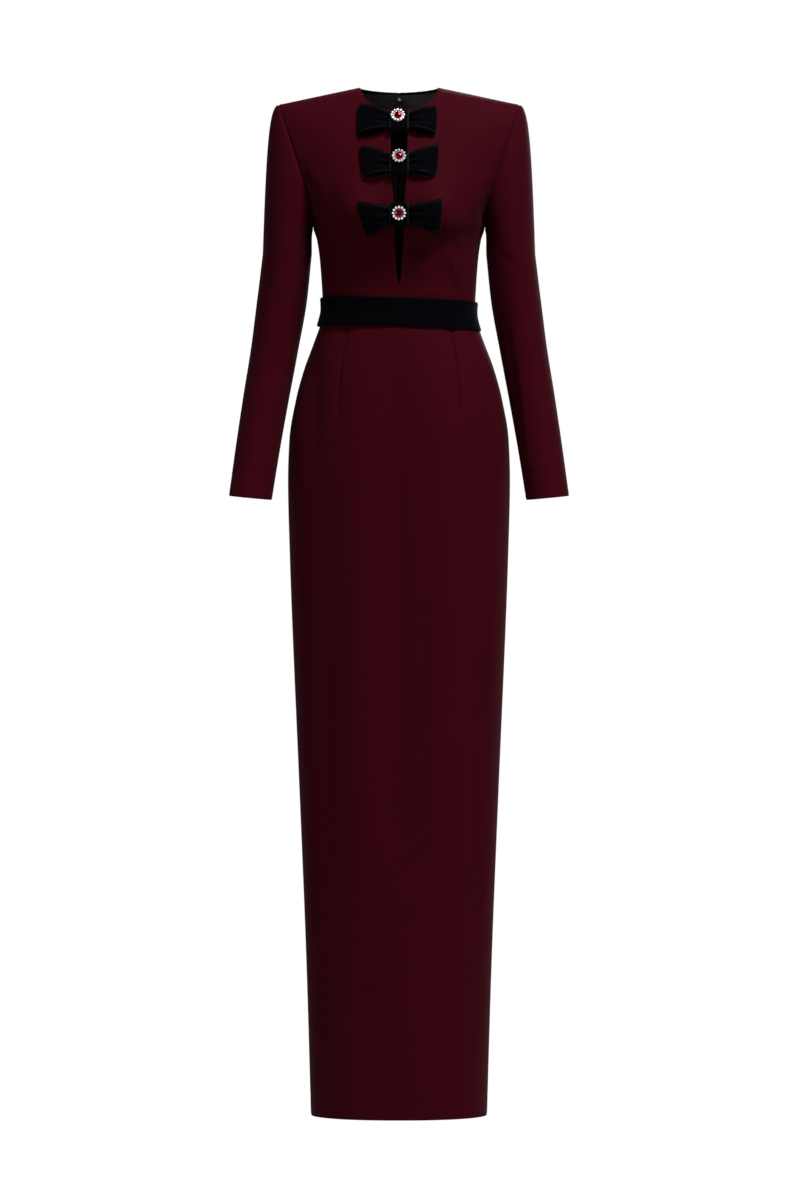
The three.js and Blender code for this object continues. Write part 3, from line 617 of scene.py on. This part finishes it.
print("column gown: back lining")
backLining = {
    "thick": 1.0, "clear": 0.3, "skipRows": 4, "skipColumns": 4, "paintedLightZ": -42, "fadeOver": 12,
    "folds": [
        (-24, -20, -17, -300, 5, 1.1, 0), (-9.5, -20, -5, -300, 2.6, 3.4, 0),
        (-1, -20, 0.4, -300, 2.4, 3.0, 0), (7.6, -20, 4.6, -300, 2.6, 3.4, 0),
        (25, -20, 18, -300, 5, 1.1, 0), (-46, -40, -36, -250, 8, 1.2, 0), (48, -40, 38, -250, 8, 1.2, 0),
    ],
}


# Black lining inside a back half, from the back's own points moved in. Its soft folds push inwards. Above a
# set height its inner face takes a lighter copy of the lining: painted light where light falls in through
# the neck.
def liningPiece(side):
    kept = slice(-backLining["skipColumns"]), slice(-backLining["skipRows"])
    points, normals = (grid[kept] for grid in bodices["back", side])
    fold = creaseHeight(points[..., 0], points[..., 2], backLining["folds"])
    fold = fold * smooth(edgeDistances(points)["low"] / backLining["fadeOver"])
    outside = points - normals * (clothThick + backLining["clear"] + fold[..., None])
    inside = outside - normals * backLining["thick"]
    # Faces above this height get the lighter copy of the lining, which is painted light at the back neck.
    atNeck = (points[:-1, :-1, 2] + points[1:, 1:, 2]) / 2 > backLining["paintedLightZ"]
    addCloth(f"lining_back_{sideNames[side]}", "lining", "hung", outside, inside, [lining, paintedLitLining],
             inFinish=atNeck.ravel().astype(int))


for side in sideNames:
    liningPiece(side)

print("column gown: sleeves")
sleeve = {
    "names": ("z", "x", "y", "half", "deep", "turn"),
    "rows": [
        (-601.5, 222, -34, 32.2, 37, 5.5), (-529, 211.5, -21, 33.1, 40, 5), (-454, 199.6, -9, 34.3, 44, 4.5),
        (-379, 186.8, 0, 35.4, 48, 3.5), (-304, 175.4, 3, 37.4, 52, 2), (-235, 167.6, 2, 36.8, 55, 0),
    ],
    "crownRows": 30, "armRows": 104, "roundWidth": 43, "shift": seamGap * 1.15, "fadeOver": 26,
    "crownPower": 1.4, "landPower": 1.5,
    # How the crown leaves the armhole and meets the arm, at the underarm and at the shoulder tip.
    "leadOut": (2.5, 13), "leadDown": (10, 3), "leadRound": 6, "landIn": 5.5, "landUp": (20, 175),
    "hemStitch": {"at": 24, "width": 1.3, "depth": 0.2},
    # Each row starts with the side of its arm, 0 for both, and goes by degrees round the arm, from 0
    # underneath over 90 in front, and by height.
    "creases": [
        (1, 60, -330, 27, -596, 6.5, -2.2, -1.5), (1, 78, -330, 45, -590, 10, 1.5, -1.5),
        (-1, 70, -300, 96, -596, 15, -1.2, 3), (-1, 50, -420, 40, -590, 10, 1.2, 0),
        (0, 14, -214, 66, -300, 8, 1.6, 4), (0, 40, -206, 100, -262, 9, -1.4, 5),
        (0, 10, -404, 74, -372, 8, 1.3, 3), (0, 12, -424, 92, -404, 8, -1.2, 3),
        (0, 120, -250, 132, -560, 16, 1.1, 0), (0, 300, -400, 240, -380, 9, 1.6, -3),
        (0, 330, -424, 256, -414, 9, -1.6, -3), (0, 340, -216, 280, -300, 10, 1.9, -4),
        (0, 300, -300, 316, -580, 10, -1.6, 3), (0, 20, -560, 110, -548, 7, 0.8, 0),
        (0, 230, -520, 330, -540, 8, 1.0, 0),
    ],
}
sleeveTable = dict(zip(sleeve["names"], np.array(sleeve["rows"]).T))
sleeveCurves = {key: curveThrough(sleeveTable["z"], sleeveTable[key]) for key in sleeve["names"][1:]}


# A point of the sleeve: an ellipse round its centre, turned with the arm.
def sleevePoint(side, angle, z):
    turn = np.radians(sleeveCurves["turn"](z))
    across = -sleeveCurves["half"](z) * np.cos(angle)
    x = side * (sleeveCurves["x"](z) + across * np.cos(turn))
    y = sleeveCurves["y"](z) - sleeveCurves["deep"](z) * np.sin(angle)
    return np.stack([x, y, z + across * np.sin(turn)], -1)


# A sleeve starts on the armhole ring, bends over the crown by a cubic curve, then runs down the arm.
def sleevePiece(side):
    lowCount, count = bodice["lowRows"], bodice["armholeRows"]
    shift = np.array([side * sleeve["shift"], 0, 0])

    def ring(inward):
        edges = []
        for face in facingOf:
            edge = bodices[face, side][0][-1, lowCount:]
            edges.append(edge - armholeOut(edge) * inward + shift)
        edges[0][[0, -1], 1] = 0
        return np.vstack([edges[0], edges[1][1:-1][::-1]])

    start, innerEdge = ring(0), ring(clothThick)
    steps = np.arange(2 * count)
    angle = np.pi * steps / count
    crown = np.where(steps <= count, steps / count, 2 - steps / count)
    top, cuff = sleeveTable["z"].max(), sleeveTable["z"].min()
    end = sleevePoint(side, angle, np.full(len(angle), top))
    lead = start + np.stack([side * mix(*sleeve["leadOut"], crown), -sleeve["leadRound"] * np.sin(angle),
                             -mix(*sleeve["leadDown"], crown)], -1)
    land = end + np.stack([-side * sleeve["landIn"] * crown, 0 * crown,
                           mix(*sleeve["landUp"], crown ** sleeve["landPower"])], -1)
    t = (np.linspace(0, 1, sleeve["crownRows"] + 1)[:-1] ** sleeve["crownPower"])[None, :, None]
    curve = start[:, None] * (1 - t) ** 3 + 3 * lead[:, None] * t * (1 - t) ** 2
    curve = curve + 3 * land[:, None] * t ** 2 * (1 - t) + end[:, None] * t ** 3
    heights = np.linspace(top, cuff, sleeve["armRows"] + 1)
    arm = sleevePoint(side, angle[:, None], heights[None])
    flat = np.concatenate([curve, arm], 1)
    hint = (side, 0, 0)
    degrees = np.degrees(angle)[:, None]
    perDegree = sleeve["roundWidth"] * np.pi / 180
    rows = np.array([row[1:] for row in sleeve["creases"] if row[0] in (0, side)], float)
    rows[:, [0, 2]] *= perDegree
    height = creaseHeight(degrees * perDegree + 0 * flat[..., 2], flat[..., 2], rows)
    points = raised(flat, gridNormals(flat, hint, True), height, ["low"], sleeve["fadeOver"])
    normals = gridNormals(points, hint, True)
    inside = points - normals * clothThick
    inside[:, 0] = innerEdge
    distances = edgeDistances(points)
    relief = edgeRelief(distances["low"], **seamEdge) + edgeRelief(distances["high"], **cleanEdge)
    hem = stitchLine(distances["high"], **sleeve["hemStitch"])
    around = np.minimum(degrees, 360 - degrees) * perDegree
    armSeam = edgeRelief(around, **underarmSeam) * smooth(distances["low"] / 12)
    outside = points + normals * (relief - hem + armSeam)[..., None]
    addCloth(f"sleeve_{sideNames[side]}", "crepe", "hung", outside, inside, [crepe, lining], wrap=True)


for side in sideNames:
    sleevePiece(side)

print("column gown: skirt")
skirt = {
    "halfColumns": 65, "rows": 236, "dartColumn": 0.4, "crowding": 1.5, "fadeOver": 14,
    "rowPower": 1.15, "dartFade": 0.2,
    "hemStitch": {"at": 30, "width": 1.4, "depth": 0.22},
    "front": {"atWaist": 0.43, "atTip": 0.362, "tipZ": -500},
    "back": {"atWaist": 0.4, "atTip": 0.35, "tipZ": -480},
    "dartPinch": 1.7, "dartWidth": 1.2, "dartEase": 1.8, "dartEaseWidth": 9,
    "frontCreases": [
        (-60, -400, -52, -1230, 28, 7.2, 4), (66, -400, 58, -1230, 28, 7.4, -4),
        (-4, -380, -6, -1120, 18, -5.6, 0), (-126, -370, -130, -580, 16, -5.0, 0),
        (-112, -560, -100, -1320, 20, -2.8, 5), (118, -560, 102, -1280, 15, -2.8, -4),
        (146, -500, 126, -1420, 12, 1.8, 0), (-146, -620, -124, -1400, 12, 1.2, 0),
        (131, -1168, 114, -1262, 4.5, 1.4, 0), (124, -1180, 106, -1270, 7, -1.2, 0),
        (-54, -1331, -14, -1318, 5, 1.1, 0), (-58, -1342, -10, -1328, 8, -0.9, 0),
        (40, -1500, 84, -1210, 24, 1.8, -8), (-86, -1500, -60, -1240, 22, -1.6, 6),
        (4, -1510, 20, -1260, 18, 1.2, 0), (-34, -352, 30, -350, 9, 0.8, 0),
    ],
    "backCreases": [
        (-64, -560, -56, -1260, 32, 3.0, 5), (62, -560, 54, -1280, 32, 2.8, -5),
        (2, -640, 4, -1260, 22, -3.0, 0), (-118, -600, -100, -1340, 17, -2.2, 4),
        (116, -600, 100, -1300, 17, -2.4, -4), (-110, -640, -20, -662, 12, 1.4, 5),
        (106, -652, 22, -672, 12, 1.3, -5), (-30, -1500, -44, -1220, 20, 1.8, 6),
        (46, -1500, 34, -1200, 20, -1.6, -6), (-96, -362, -40, -372, 7, 1.1, 0),
        (98, -366, 42, -376, 7, 1.0, 0),
    ],
}


# Points of half a skirt from the centre to the side: columns bend so that one follows the dart.
def skirtHalf(face, side):
    dart = skirt[face]
    middle = skirt["dartColumn"]
    columns = np.linspace(0, 1, skirt["halfColumns"] + 1)[:, None]
    before = middle * (1 - np.clip(1 - columns / middle, 0, 1) ** skirt["crowding"])
    after = (1 - middle) * np.clip((columns - middle) / (1 - middle), 0, 1) ** skirt["crowding"]
    columns = before + after
    z = mix(waistZ - seamGap, hemZ, np.linspace(0, 1, skirt["rows"] + 1) ** skirt["rowPower"])[None]
    down = np.clip((waistZ - z) / (waistZ - dart["tipZ"]), 0, 1)
    dartShare = mix(dart["atWaist"], dart["atTip"], smooth(down))
    outer = mix(dartShare, 1, (columns - middle) / (1 - middle))
    share = np.where(columns <= middle, dartShare * columns / middle, outer)
    if face == "back":
        share = np.maximum(share, shareAt(seamGap / 2, z))
    x = acrossAt(share, z)
    offDart = x - acrossAt(dartShare, z)
    pinch = skirt["dartPinch"] * bell(offDart, skirt["dartWidth"])
    pinch = pinch + skirt["dartEase"] * bell(offDart, skirt["dartEaseWidth"])
    pinch = pinch * smooth((1 - down) / skirt["dartFade"]) * (z < waistZ)
    depth = depthAt(face, x, z) + seamGap / 2
    depth[-1] = -centreLap
    if face == "back":
        x[0] = -centreLap
    return np.stack([side * x, facingOf[face] * depth, z + 0 * x], -1), pinch


# A panel of the skirt: one half, or two halves joined at the centre. Its creases raise it and its
# darts pinch it in.
def skirtPiece(name, face, sides):
    halves = [skirtHalf(face, side) for side in sides]
    flat, pinch = halves[-1]
    if len(halves) == 2:
        flat, pinch = (np.concatenate([left[:0:-1], right]) for left, right in zip(*halves))
    hint = (0, facingOf[face], 0)
    creases = creaseHeight(flat[..., 0], flat[..., 2], skirt[face + "Creases"])
    normals = gridNormals(flat, hint)
    points = raised(flat, normals, creases, ["last", "first"], skirt["fadeOver"])
    points = raised(points, normals, -pinch, [])
    normals = gridNormals(points, hint)
    normals[:, 0, 2] = 0
    normals[-1, :, 1] = 0
    normals[0, :, 1 if len(halves) == 2 else 0] = 0
    normals = unit(normals)
    hem = stitchLine(edgeDistances(points)["high"], **skirt["hemStitch"])
    dips = edgeDips(points, {"first": seamEdge, "last": seamEdge, "high": cleanEdge})
    outside = points + normals * (dips - hem)[..., None]
    addCloth(name, "crepe", "hung", outside, points - normals * clothThick, [crepe, lining])


skirtPiece("skirt_front", "front", (-1, 1))
skirtPiece("skirt_back_left", "back", (-1,))
skirtPiece("skirt_back_right", "back", (1,))

print("column gown: belt")
belt = {
    "topZ": -304.5, "high": 43.5, "tilt": -0.031, "thick": 2, "standOff": 2.1, "turns": 220, "rows": 26,
    "endGap": seamGap * 1.2, "meanRadius": 90, "rounding": (0.9, 1.1), "ridge": (0.35, 3.4, 1.0),
    "creases": [
        (-112, -318, -70, -332, 3, 0.35, 0), (-104, -334, -60, -322, 3, -0.35, 0),
        (-20, -320, 52, -324, 4, 0.3, 0), (70, -336, 112, -326, 3, 0.4, 0),
        (84, -316, 114, -322, 3, -0.35, 0),
    ],
}


# The belt: an open ring round the waist whose ends meet at the centre back, with rounded edges.
def beltPiece():
    ends = belt["endGap"] / (2 * np.pi * belt["meanRadius"])
    turn = np.linspace(0.5 + ends, 1.5 - ends, belt["turns"] + 1)[:, None] * 2 * np.pi
    down = easedSteps(belt["rows"])[None]
    level = belt["topZ"] - belt["high"] * down + 0 * turn
    power = squareness(level)
    x = np.sign(np.sin(turn)) * halfAt(level) * np.abs(np.sin(turn)) ** power
    depth = np.where(np.cos(turn) > 0, centreDepth("front", level), centreDepth("back", level))
    y = -np.sign(np.cos(turn)) * depth * np.abs(np.cos(turn)) ** power
    points = np.stack([x, y, level + belt["tilt"] * x], -1)
    normals = gridNormals(points, (0, -1, 0))
    normals[0, :, 0] = normals[-1, :, 0] = 0
    normals = unit(normals)
    distances = edgeDistances(points)
    edge = np.minimum(distances["low"], distances["high"])
    (depth, width), (high, at, over) = belt["rounding"], belt["ridge"]
    rounding = depth * bell(edge, width) - high * bell(edge - at, over)
    soft = creaseHeight(points[..., 0], points[..., 2], belt["creases"])
    inside = points + normals * belt["standOff"]
    outside = points + normals * (belt["standOff"] + belt["thick"] - rounding + soft)[..., None]
    addCloth("belt", "velvet", "laid", outside, inside, [velvet])


beltPiece()

print("column gown: bows")
knot = {
    "halfWide": 14.4, "seat": 0.7, "deep": 13, "square": 0.5, "turns": 96, "columns": 30,
    "paleEdge": 1.6, "search": (-90.0, 80.0), "rounding": (0.5, 0.9),
    # Folds along the wrap, by distance from the middle, width and depth.
    "folds": [(4.5, 1.1, 0.5), (9, 1.0, 0.4)],
    "rows": [
        {"bow": 1, "topZ": -23.6, "bottomZ": -54.5, "broochX": -1.6, "broochZ": -35.2},
        {"bow": 2, "topZ": -88, "bottomZ": -123, "broochX": 0, "broochZ": -97.4},
        {"bow": 3, "topZ": -167, "bottomZ": -201.5, "broochX": 0, "broochZ": -182.6},
    ],
}
ribbon = {
    "thick": 1.2, "startX": 11.5, "pathSteps": 8, "rows": 44, "edgeLine": 2.6, "edgeWidth": 0.5,
    "knotInset": 5.4, "flare": 0.62, "cornerIn": 2.2, "fanning": 1.2, "crown": 1.2,
    "edgeHigh": 0.45, "rounding": (0.35, 0.8), "set": 0.1, "seatReach": 0.14,
    "cornerFrom": 0.55, "cornerOver": 0.45, "cornerPower": 5, "frontUntil": 6.2, "frontOver": 1.5,
    # Loops by bow and side: outer corner above, outer corner below, sag of the back layer.
    "loops": [
        (1, -1, (61.5, -14.2), (63, -60.5), 6), (1, 1, (57, -18.4), (55.5, -60.5), 5),
        (2, -1, (60, -79.6), (53.5, -128.3), 0), (2, 1, (59.6, -78.4), (55.7, -126), 0),
        (3, -1, (64, -164.3), (49, -217), 0), (3, 1, (65, -160.4), (61.7, -211.5), 0),
    ],
    # A loop seen from above: share of its length, and height above the bodice.
    "path": [
        (0, 9.2), (0.14, 9.9), (0.3, 12), (0.55, 12.4), (0.8, 9.8), (0.95, 6.6), (1, 3.9),
        (0.95, 2.7), (0.8, 2.1), (0.55, 1.9), (0.3, 2.2), (0.14, 3.6), (0, 4.6),
    ],
    # Gathers that fan out from the knot: share of the height, reach, width and height.
    "gathers": [
        (0.18, 0.34, 0.05, 1.6), (0.36, 0.62, 0.06, -2.2), (0.5, 0.42, 0.05, 2.0), (0.65, 0.56, 0.06, -2.1),
        (0.84, 0.34, 0.05, 1.5),
    ],
}


# Frame on the centre line of the cloth between two heights: across, up its slope, and out.
def surfaceFrame(face, topZ, bottomZ, inwards=0.0):
    facing = facingOf[face]

    def onCloth(z):
        return np.array([0, facing * (depthAt(face, 0, levelAt(0, z)) + seamGap / 2), z])

    top, bottom = onCloth(topZ), onCloth(bottomZ)
    up = unit(top - bottom)
    across = np.array([-facing, 0, 0])
    out = np.cross(across, up)
    middle = (top + bottom) / 2 - out * inwards
    return {"up": up, "out": out, "axes": np.stack([across, up, out]), "middle": middle}


# The point that lies so far across, up and out from the middle of a frame.
def toWorld(place, across, up, out):
    steps = zip((across, up, out), place["axes"])
    return place["middle"] + sum(np.asarray(value)[..., None] * axis for value, axis in steps)


# Height of the bodice above a bow's own plane, found by halving along the frame's own axis.
def chestUnder(place, across, up):
    beside = np.sign(across) * np.maximum(np.abs(across), knot["halfWide"])

    def inBodice(stand):
        point = toWorld(place, beside, up, stand)
        x, z = point[..., 0], point[..., 2]
        return -point[..., 1] < depthAt("front", x, levelAt(x, z)) + seamGap / 2

    deepest, highest = (np.full(np.shape(across + up), value) for value in knot["search"])
    return halving(deepest, highest, inBodice)


# A bow's frame is lowered so that the front of its knot spans the heights in its row.
def bowPlace(row):
    drop = (knot["seat"] + knot["deep"]) * surfaceFrame("front", row["topZ"], row["bottomZ"])["out"][2]
    place = surfaceFrame("front", row["topZ"] - drop, row["bottomZ"] - drop)
    lean = place["up"][2]
    halfHigh = (row["topZ"] - row["bottomZ"]) / lean / 2
    x, up = np.meshgrid([-knot["halfWide"], knot["halfWide"]], [-halfHigh, 0, halfHigh])
    seat = chestUnder(place, x, up).max() + knot["seat"]
    return {**place, "lean": lean, "halfHigh": halfHigh, "seat": seat}


# Smooth path through a list of points, by the Catmull-Rom formula, with steps to each span.
def smoothPath(rows, steps):
    rows = np.array(rows, float)
    padded = np.vstack([2 * rows[0] - rows[1], rows, 2 * rows[-1] - rows[-2]])
    place = np.linspace(0, len(rows) - 1, (len(rows) - 1) * steps + 1)
    span = np.minimum(place.astype(int), len(rows) - 2)
    t = (place - span)[:, None]
    a, b, c, d = (padded[span + k] for k in range(4))
    bend = 2 * b + (c - a) * t + (2 * a - 5 * b + 4 * c - d) * t ** 2 + (3 * b - a - 3 * c + d) * t ** 3
    return place, bend / 2


# A loop: the ribbon's path from the knot out and back, spread in height from the knot to its
# corners and set on the bodice, with gathers on the front layer and a raised line along its edges.
def bowLoop(bow, side, topCorner, bottomCorner, sag):
    place = places[bow]
    lean, middleZ = place["lean"], place["middle"][2]
    knotHalf = place["halfHigh"] - clothThick - ribbon["knotInset"]
    step, path = smoothPath(ribbon["path"], ribbon["pathSteps"])
    out, stand = np.clip(path[:, :1], 0, None), path[:, 1:]
    share = easedSteps(ribbon["rows"])[None]
    behind = sag * smooth(step - len(ribbon["path"]) / 2 + 0.5)[:, None]
    (topX, topZ), (bottomX, bottomZ) = topCorner, bottomCorner
    outerUp = mix(bottomZ - middleZ, topZ - middleZ, share) / lean - behind
    across = mix(ribbon["startX"], mix(bottomX, topX, share), out)
    up = mix(mix(-knotHalf, knotHalf, share), outerUp, out ** ribbon["flare"])
    pulled = smooth((out - ribbon["cornerFrom"]) / ribbon["cornerOver"])
    across = across - ribbon["cornerIn"] * np.abs(2 * share - 1) ** ribbon["cornerPower"] * pulled
    chest = chestUnder(place, side * across, up)
    base = mix(place["seat"] - knot["seat"], chest, np.minimum(out / ribbon["seatReach"], 1))
    front = smooth((ribbon["frontUntil"] - step) / ribbon["frontOver"])[:, None]
    fold = sum(height * bell((share - at) / width, 1 + ribbon["fanning"] * out) * bell(out, reach)
               for at, reach, width, height in ribbon["gathers"])
    crown = ribbon["crown"] * np.sin(np.pi * share) * np.sin(np.pi * np.clip(out, 0, 1)) ** 2
    points = toWorld(place, side * across, up, base + stand + (fold + crown) * front)
    normals = gridNormals(points, (side, 0, 0))
    distances = edgeDistances(points)
    edge = np.minimum(distances["low"], distances["high"])
    line = ribbon["edgeHigh"] * bell(edge - ribbon["edgeLine"], ribbon["edgeWidth"])
    depth, width = ribbon["rounding"]
    outside = points + normals * (line - depth * bell(edge, width) - ribbon["set"])[..., None]
    middleEdge = (edge[:-1, :-1] + edge[1:, 1:]) / 2
    onLine = (np.abs(middleEdge - ribbon["edgeLine"]) < ribbon["edgeWidth"]).ravel()
    inside = points - normals * ribbon["thick"]
    addCloth(f"bow_{bow}_{sideNames[side]}_loop", "velvet", "gathered", outside, inside,
             [velvet, velvet, velvetEdge], outFinish=np.where(onLine, 2, 0))


# The knot: a tube with a rounded square section, waisted a little and with folds along the wrap.
def bowKnot(row, place):
    halfDeep = knot["deep"] / 2
    angle = (np.arange(knot["turns"]) * 2 * np.pi / knot["turns"])[:, None]
    x = (easedSteps(knot["columns"])[None] * 2 - 1) * knot["halfWide"]

    def corner(value):
        return np.sign(value) * np.abs(value) ** knot["square"]

    def tube(inset):
        up = (place["halfHigh"] - inset) * corner(np.sin(angle))
        out = place["seat"] + halfDeep + (halfDeep - inset) * corner(np.cos(angle))
        return toWorld(place, x + 0 * angle, up + 0 * x, out + 0 * x)

    edge = knot["halfWide"] - np.abs(x)
    folds = sum(depth * bell(np.abs(x) - at, width) for at, width, depth in knot["folds"])
    depth, width = knot["rounding"]
    outside = tube(folds + depth * bell(edge, width) + 0 * angle)
    onEdge = (edge[0, :-1] + edge[0, 1:]) / 2 < knot["paleEdge"]
    pale = np.where(np.tile(onEdge, knot["turns"]), 2, 0)
    addCloth(f"bow_{row['bow']}_knot", "velvet", "folded", outside, tube(clothThick + 0 * x),
             [velvet, velvet, velvetEdge], wrap=True, outFinish=pale)


places = {row["bow"]: bowPlace(row) for row in knot["rows"]}
for row in ribbon["loops"]:
    bowLoop(*row)
for row in knot["rows"]:
    bowKnot(row, places[row["bow"]])

print("column gown: brooches, button, loop and zip pull")


# A solid turned about the frame's out axis, from pairs of radius and height. A closed profile is a
# ring's section, and any other one starts and ends on the axis.
def turnedPoints(profile, segments, twist=0.0, closed=False):
    profile = np.array(profile, float)
    angle = np.arange(segments) * 2 * np.pi / segments + twist
    radius, height = profile[:, 0], profile[:, 1]
    height = np.tile(height, (segments, 1))
    points = np.stack([np.outer(np.cos(angle), radius), np.outer(np.sin(angle), radius), height], -1)
    index = np.arange(segments * len(profile)).reshape(segments, len(profile))
    return points.reshape(-1, 3), gridFaces(np.pad(index, ((0, 1), (0, int(closed))), "wrap"))


# Copies of one solid, moved to the given places and joined as one list of points and faces.
def copies(points, faces, offsets):
    offsets = np.asarray(offsets, float)
    moved = (points[None] + offsets[:, None]).reshape(-1, 3)
    starts = np.arange(len(offsets))[:, None, None] * len(points)
    return moved, (faces[None] + starts).reshape(-1, 4)


# Several solids as one list of points and faces.
def joined(*solids):
    starts = np.cumsum([0] + [len(points) for points, _ in solids[:-1]])
    faces = [faces + start for (_, faces), start in zip(solids, starts)]
    return np.vstack([points for points, _ in solids]), np.vstack(faces)


brooch = {
    "discRadius": 9.7, "discThick": 1.5, "stoneRadius": 5.9, "stoneHigh": 3.6,
    "count": 12, "ringRadius": 8.9, "crystalRadius": 2.1, "crystalHigh": 3.2, "colletHigh": 1.4,
    "collet": 0.6, "clawIn": 0.5, "discSides": 72, "stoneSides": 10, "crystalSides": 8, "clawSides": 8,
    "claw": [(0, 0), (0.35, 0.1), (0.5, 0.8), (0.3, 2.6), (0, 2.9)],
    # Cuts by shares of radius and height: a rose cut that comes to a point, and one with a flat table.
    "stoneCut": [(1, 0.3), (0.9, 0.6), (0.62, 0.82), (0.3, 0.95), (0, 1)], "stoneTwist": 0.2,
    "crystalCut": [(1, 0.25), (0.848, 0.68), (0.6, 1), (0, 1)], "crystalTwist": 0.3,
}


# A solid in a frame's own axes, which stands for the CAD node of its name.
def addSolid(node, ending, centre, axes, solid, finish, sharpAngle=50):
    points, faces = solid
    piece = makeObject(f"{node}_{ending}", centre + points @ axes, faces, [finish], None, sharpAngle)
    rideAs(piece, node)


# Places on a circle at one height.
def ringOf(count, radius, height, twist=0.0):
    angle = np.arange(count) * 2 * np.pi / count + twist
    return np.stack([radius * np.cos(angle), radius * np.sin(angle), np.full(count, height)], -1)


# A stone's profile from its foot up, by shares of its radius and height.
def cutProfile(radius, foot, high, cut):
    return [(0, foot), (radius, foot)] + [(out * radius, foot + up * high) for out, up in cut]


# A brooch on the front of a knot: a disc with a collet and claws, its stone and its crystals.
def broochPieces(row, place):
    stand = place["seat"] + knot["deep"] + seamGap
    up = (row["broochZ"] - place["middle"][2] - stand * place["out"][2]) / place["lean"]
    centre = toWorld(place, row["broochX"], up, stand)
    thick = brooch["discThick"]
    collet = brooch["stoneRadius"] + brooch["collet"]
    rimHigh = thick + brooch["colletHigh"]
    bore = brooch["stoneRadius"] + seamGap
    disc = turnedPoints([(0, 0), (brooch["discRadius"], 0), (brooch["discRadius"], thick), (collet, thick),
                         (collet, rimHigh), (bore, rimHigh), (bore, thick), (0, thick)],
                        brooch["discSides"])
    claw = turnedPoints(brooch["claw"], brooch["clawSides"])
    between = np.pi / brooch["count"]
    claws = copies(*claw, ringOf(brooch["count"], brooch["discRadius"] - brooch["clawIn"], thick, between))
    foot = thick + seamGap
    rose = cutProfile(brooch["stoneRadius"], foot, brooch["stoneHigh"], brooch["stoneCut"])
    gem = turnedPoints(rose, brooch["stoneSides"], brooch["stoneTwist"])
    cut = cutProfile(brooch["crystalRadius"], foot, brooch["crystalHigh"], brooch["crystalCut"])
    small = turnedPoints(cut, brooch["crystalSides"], brooch["crystalTwist"])
    stones = copies(*small, ringOf(brooch["count"], brooch["ringRadius"], 0))
    for kind, slot, solid, finish, sharp in (
        ("setting", "silver", joined(disc, claws), silver, 40),
        ("stone", "red_stone", gem, garnet, 5), ("crystals", "crystal", stones, clear, 5),
    ):
        node = f"brooch_{row['bow']}_{kind}"
        addSolid(node, "fine", centre, place["axes"], solid, finish, sharp)


for row in knot["rows"]:
    broochPieces(row, places[row["bow"]])

button = {
    "radius": 4.2, "topZ": 9, "bottomZ": -1, "clear": 0.5, "turns": 40, "steps": 24,
    "loopRadius": 3.8, "loopThick": 0.55, "loopClear": 0.8, "loopTurns": 64, "loopSides": 16,
}


# A ball button on the lining inside the back neck, with a thread loop round its foot.
def neckButton():
    wall = clothThick + seamGap + backLining["thick"]
    place = surfaceFrame("back", button["topZ"], button["bottomZ"], wall)
    angle = np.linspace(-np.pi / 2, np.pi / 2, button["steps"] + 1)
    radius = button["radius"]
    profile = np.stack([radius * np.cos(angle), radius * np.sin(angle) - radius - button["clear"]], -1)
    ball = turnedPoints(profile, button["turns"])
    addSolid("neck_button", "satin", place["middle"], place["axes"], ball, satin)
    around = np.linspace(0, 2 * np.pi, button["loopSides"] + 1)[:-1]
    half = button["loopThick"]
    thread = np.stack([button["loopRadius"] + half * np.cos(around),
                       half * np.sin(around) - half - button["loopClear"]], -1)
    loop = turnedPoints(thread, button["loopTurns"], closed=True)
    addSolid("button_loop", "thread", place["middle"], place["axes"], loop, satin)


neckButton()
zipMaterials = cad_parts["zip_pull"].data.materials
zipMaterials.clear()
zipMaterials.append(lacquer)

print("column gown: camera and light")
cameraData = bpy.data.cameras.new("camera")
cameraData.lens = 160
cameraData.sensor_width = 36
cameraData.clip_end = 60
camera = addObject("camera", cameraData)
camera.location = (0.0015, -8, -0.754)
camera.rotation_euler = (math.pi / 2, 0, 0)
scene.camera = camera

world = bpy.data.worlds.new("studio")
scene.world = world
world.use_nodes = True
# The sky is white round the horizon and dim above and below it, so that the key light gives form.
sky = world.node_tree
direction = addNode(sky, "TexCoord")
parts = addNode(sky, "SeparateXYZ")
steep = addNode(sky, "Math")
steep.operation = "ABSOLUTE"
fall = addNode(sky, "MapRange", {"From Min": 0.3, "From Max": 0.5, "To Min": 1.0, "To Max": 0.12})
fall.interpolation_type = "SMOOTHSTEP"
background = sky.nodes["Background"]
setInputs(background, {"Strength": 1.0})
addLinks(sky, [
    (direction, "Generated", parts, 0), (parts, "Z", steep, 0), (steep, 0, fall, "Value"),
    (fall, "Result", background, "Color"),
])


# A square light at a place, turned so that it shines at its aim.
def studioLight(name, place, aim, size, energy):
    data = bpy.data.lights.new(name, "AREA")
    data.size = size
    data.energy = energy
    light = addObject(name, data)
    light.location = place
    direction = np.array(aim) - np.array(place)
    flatLength = math.hypot(direction[0], direction[1])
    heading = math.atan2(direction[1], direction[0]) - math.pi / 2
    light.rotation_euler = (math.atan2(flatLength, -direction[2]), 0, heading)


studioLight("key", (2.9, -3.5, 6.6), (0, 0, -0.5), size=2.2, energy=4700)
studioLight("fill", (-3.2, -3.0, 0.2), (0, 0, -0.8), size=2.4, energy=145)
studioLight("back", (1.6, 4.4, 1.8), (0, 0, -0.8), size=2.4, energy=420)

floorHalf = 2.6
floorZ = -2.0
floorMesh = bpy.data.meshes.new("floor")
floorCorners = [(x * floorHalf, y * floorHalf, floorZ) for x, y in ((-1, -1), (1, -1), (1, 1), (-1, 1))]
floorMesh.from_pydata(floorCorners, [], [(0, 1, 2, 3)])
floor = addObject("floor", floorMesh)
paleFloor, _, _ = newMaterial("pale_floor", {"Base Color": (0.55, 0.55, 0.55, 1), "Roughness": 0.9})
floorMesh.materials.append(paleFloor)

scene.view_settings.view_transform = "Standard"
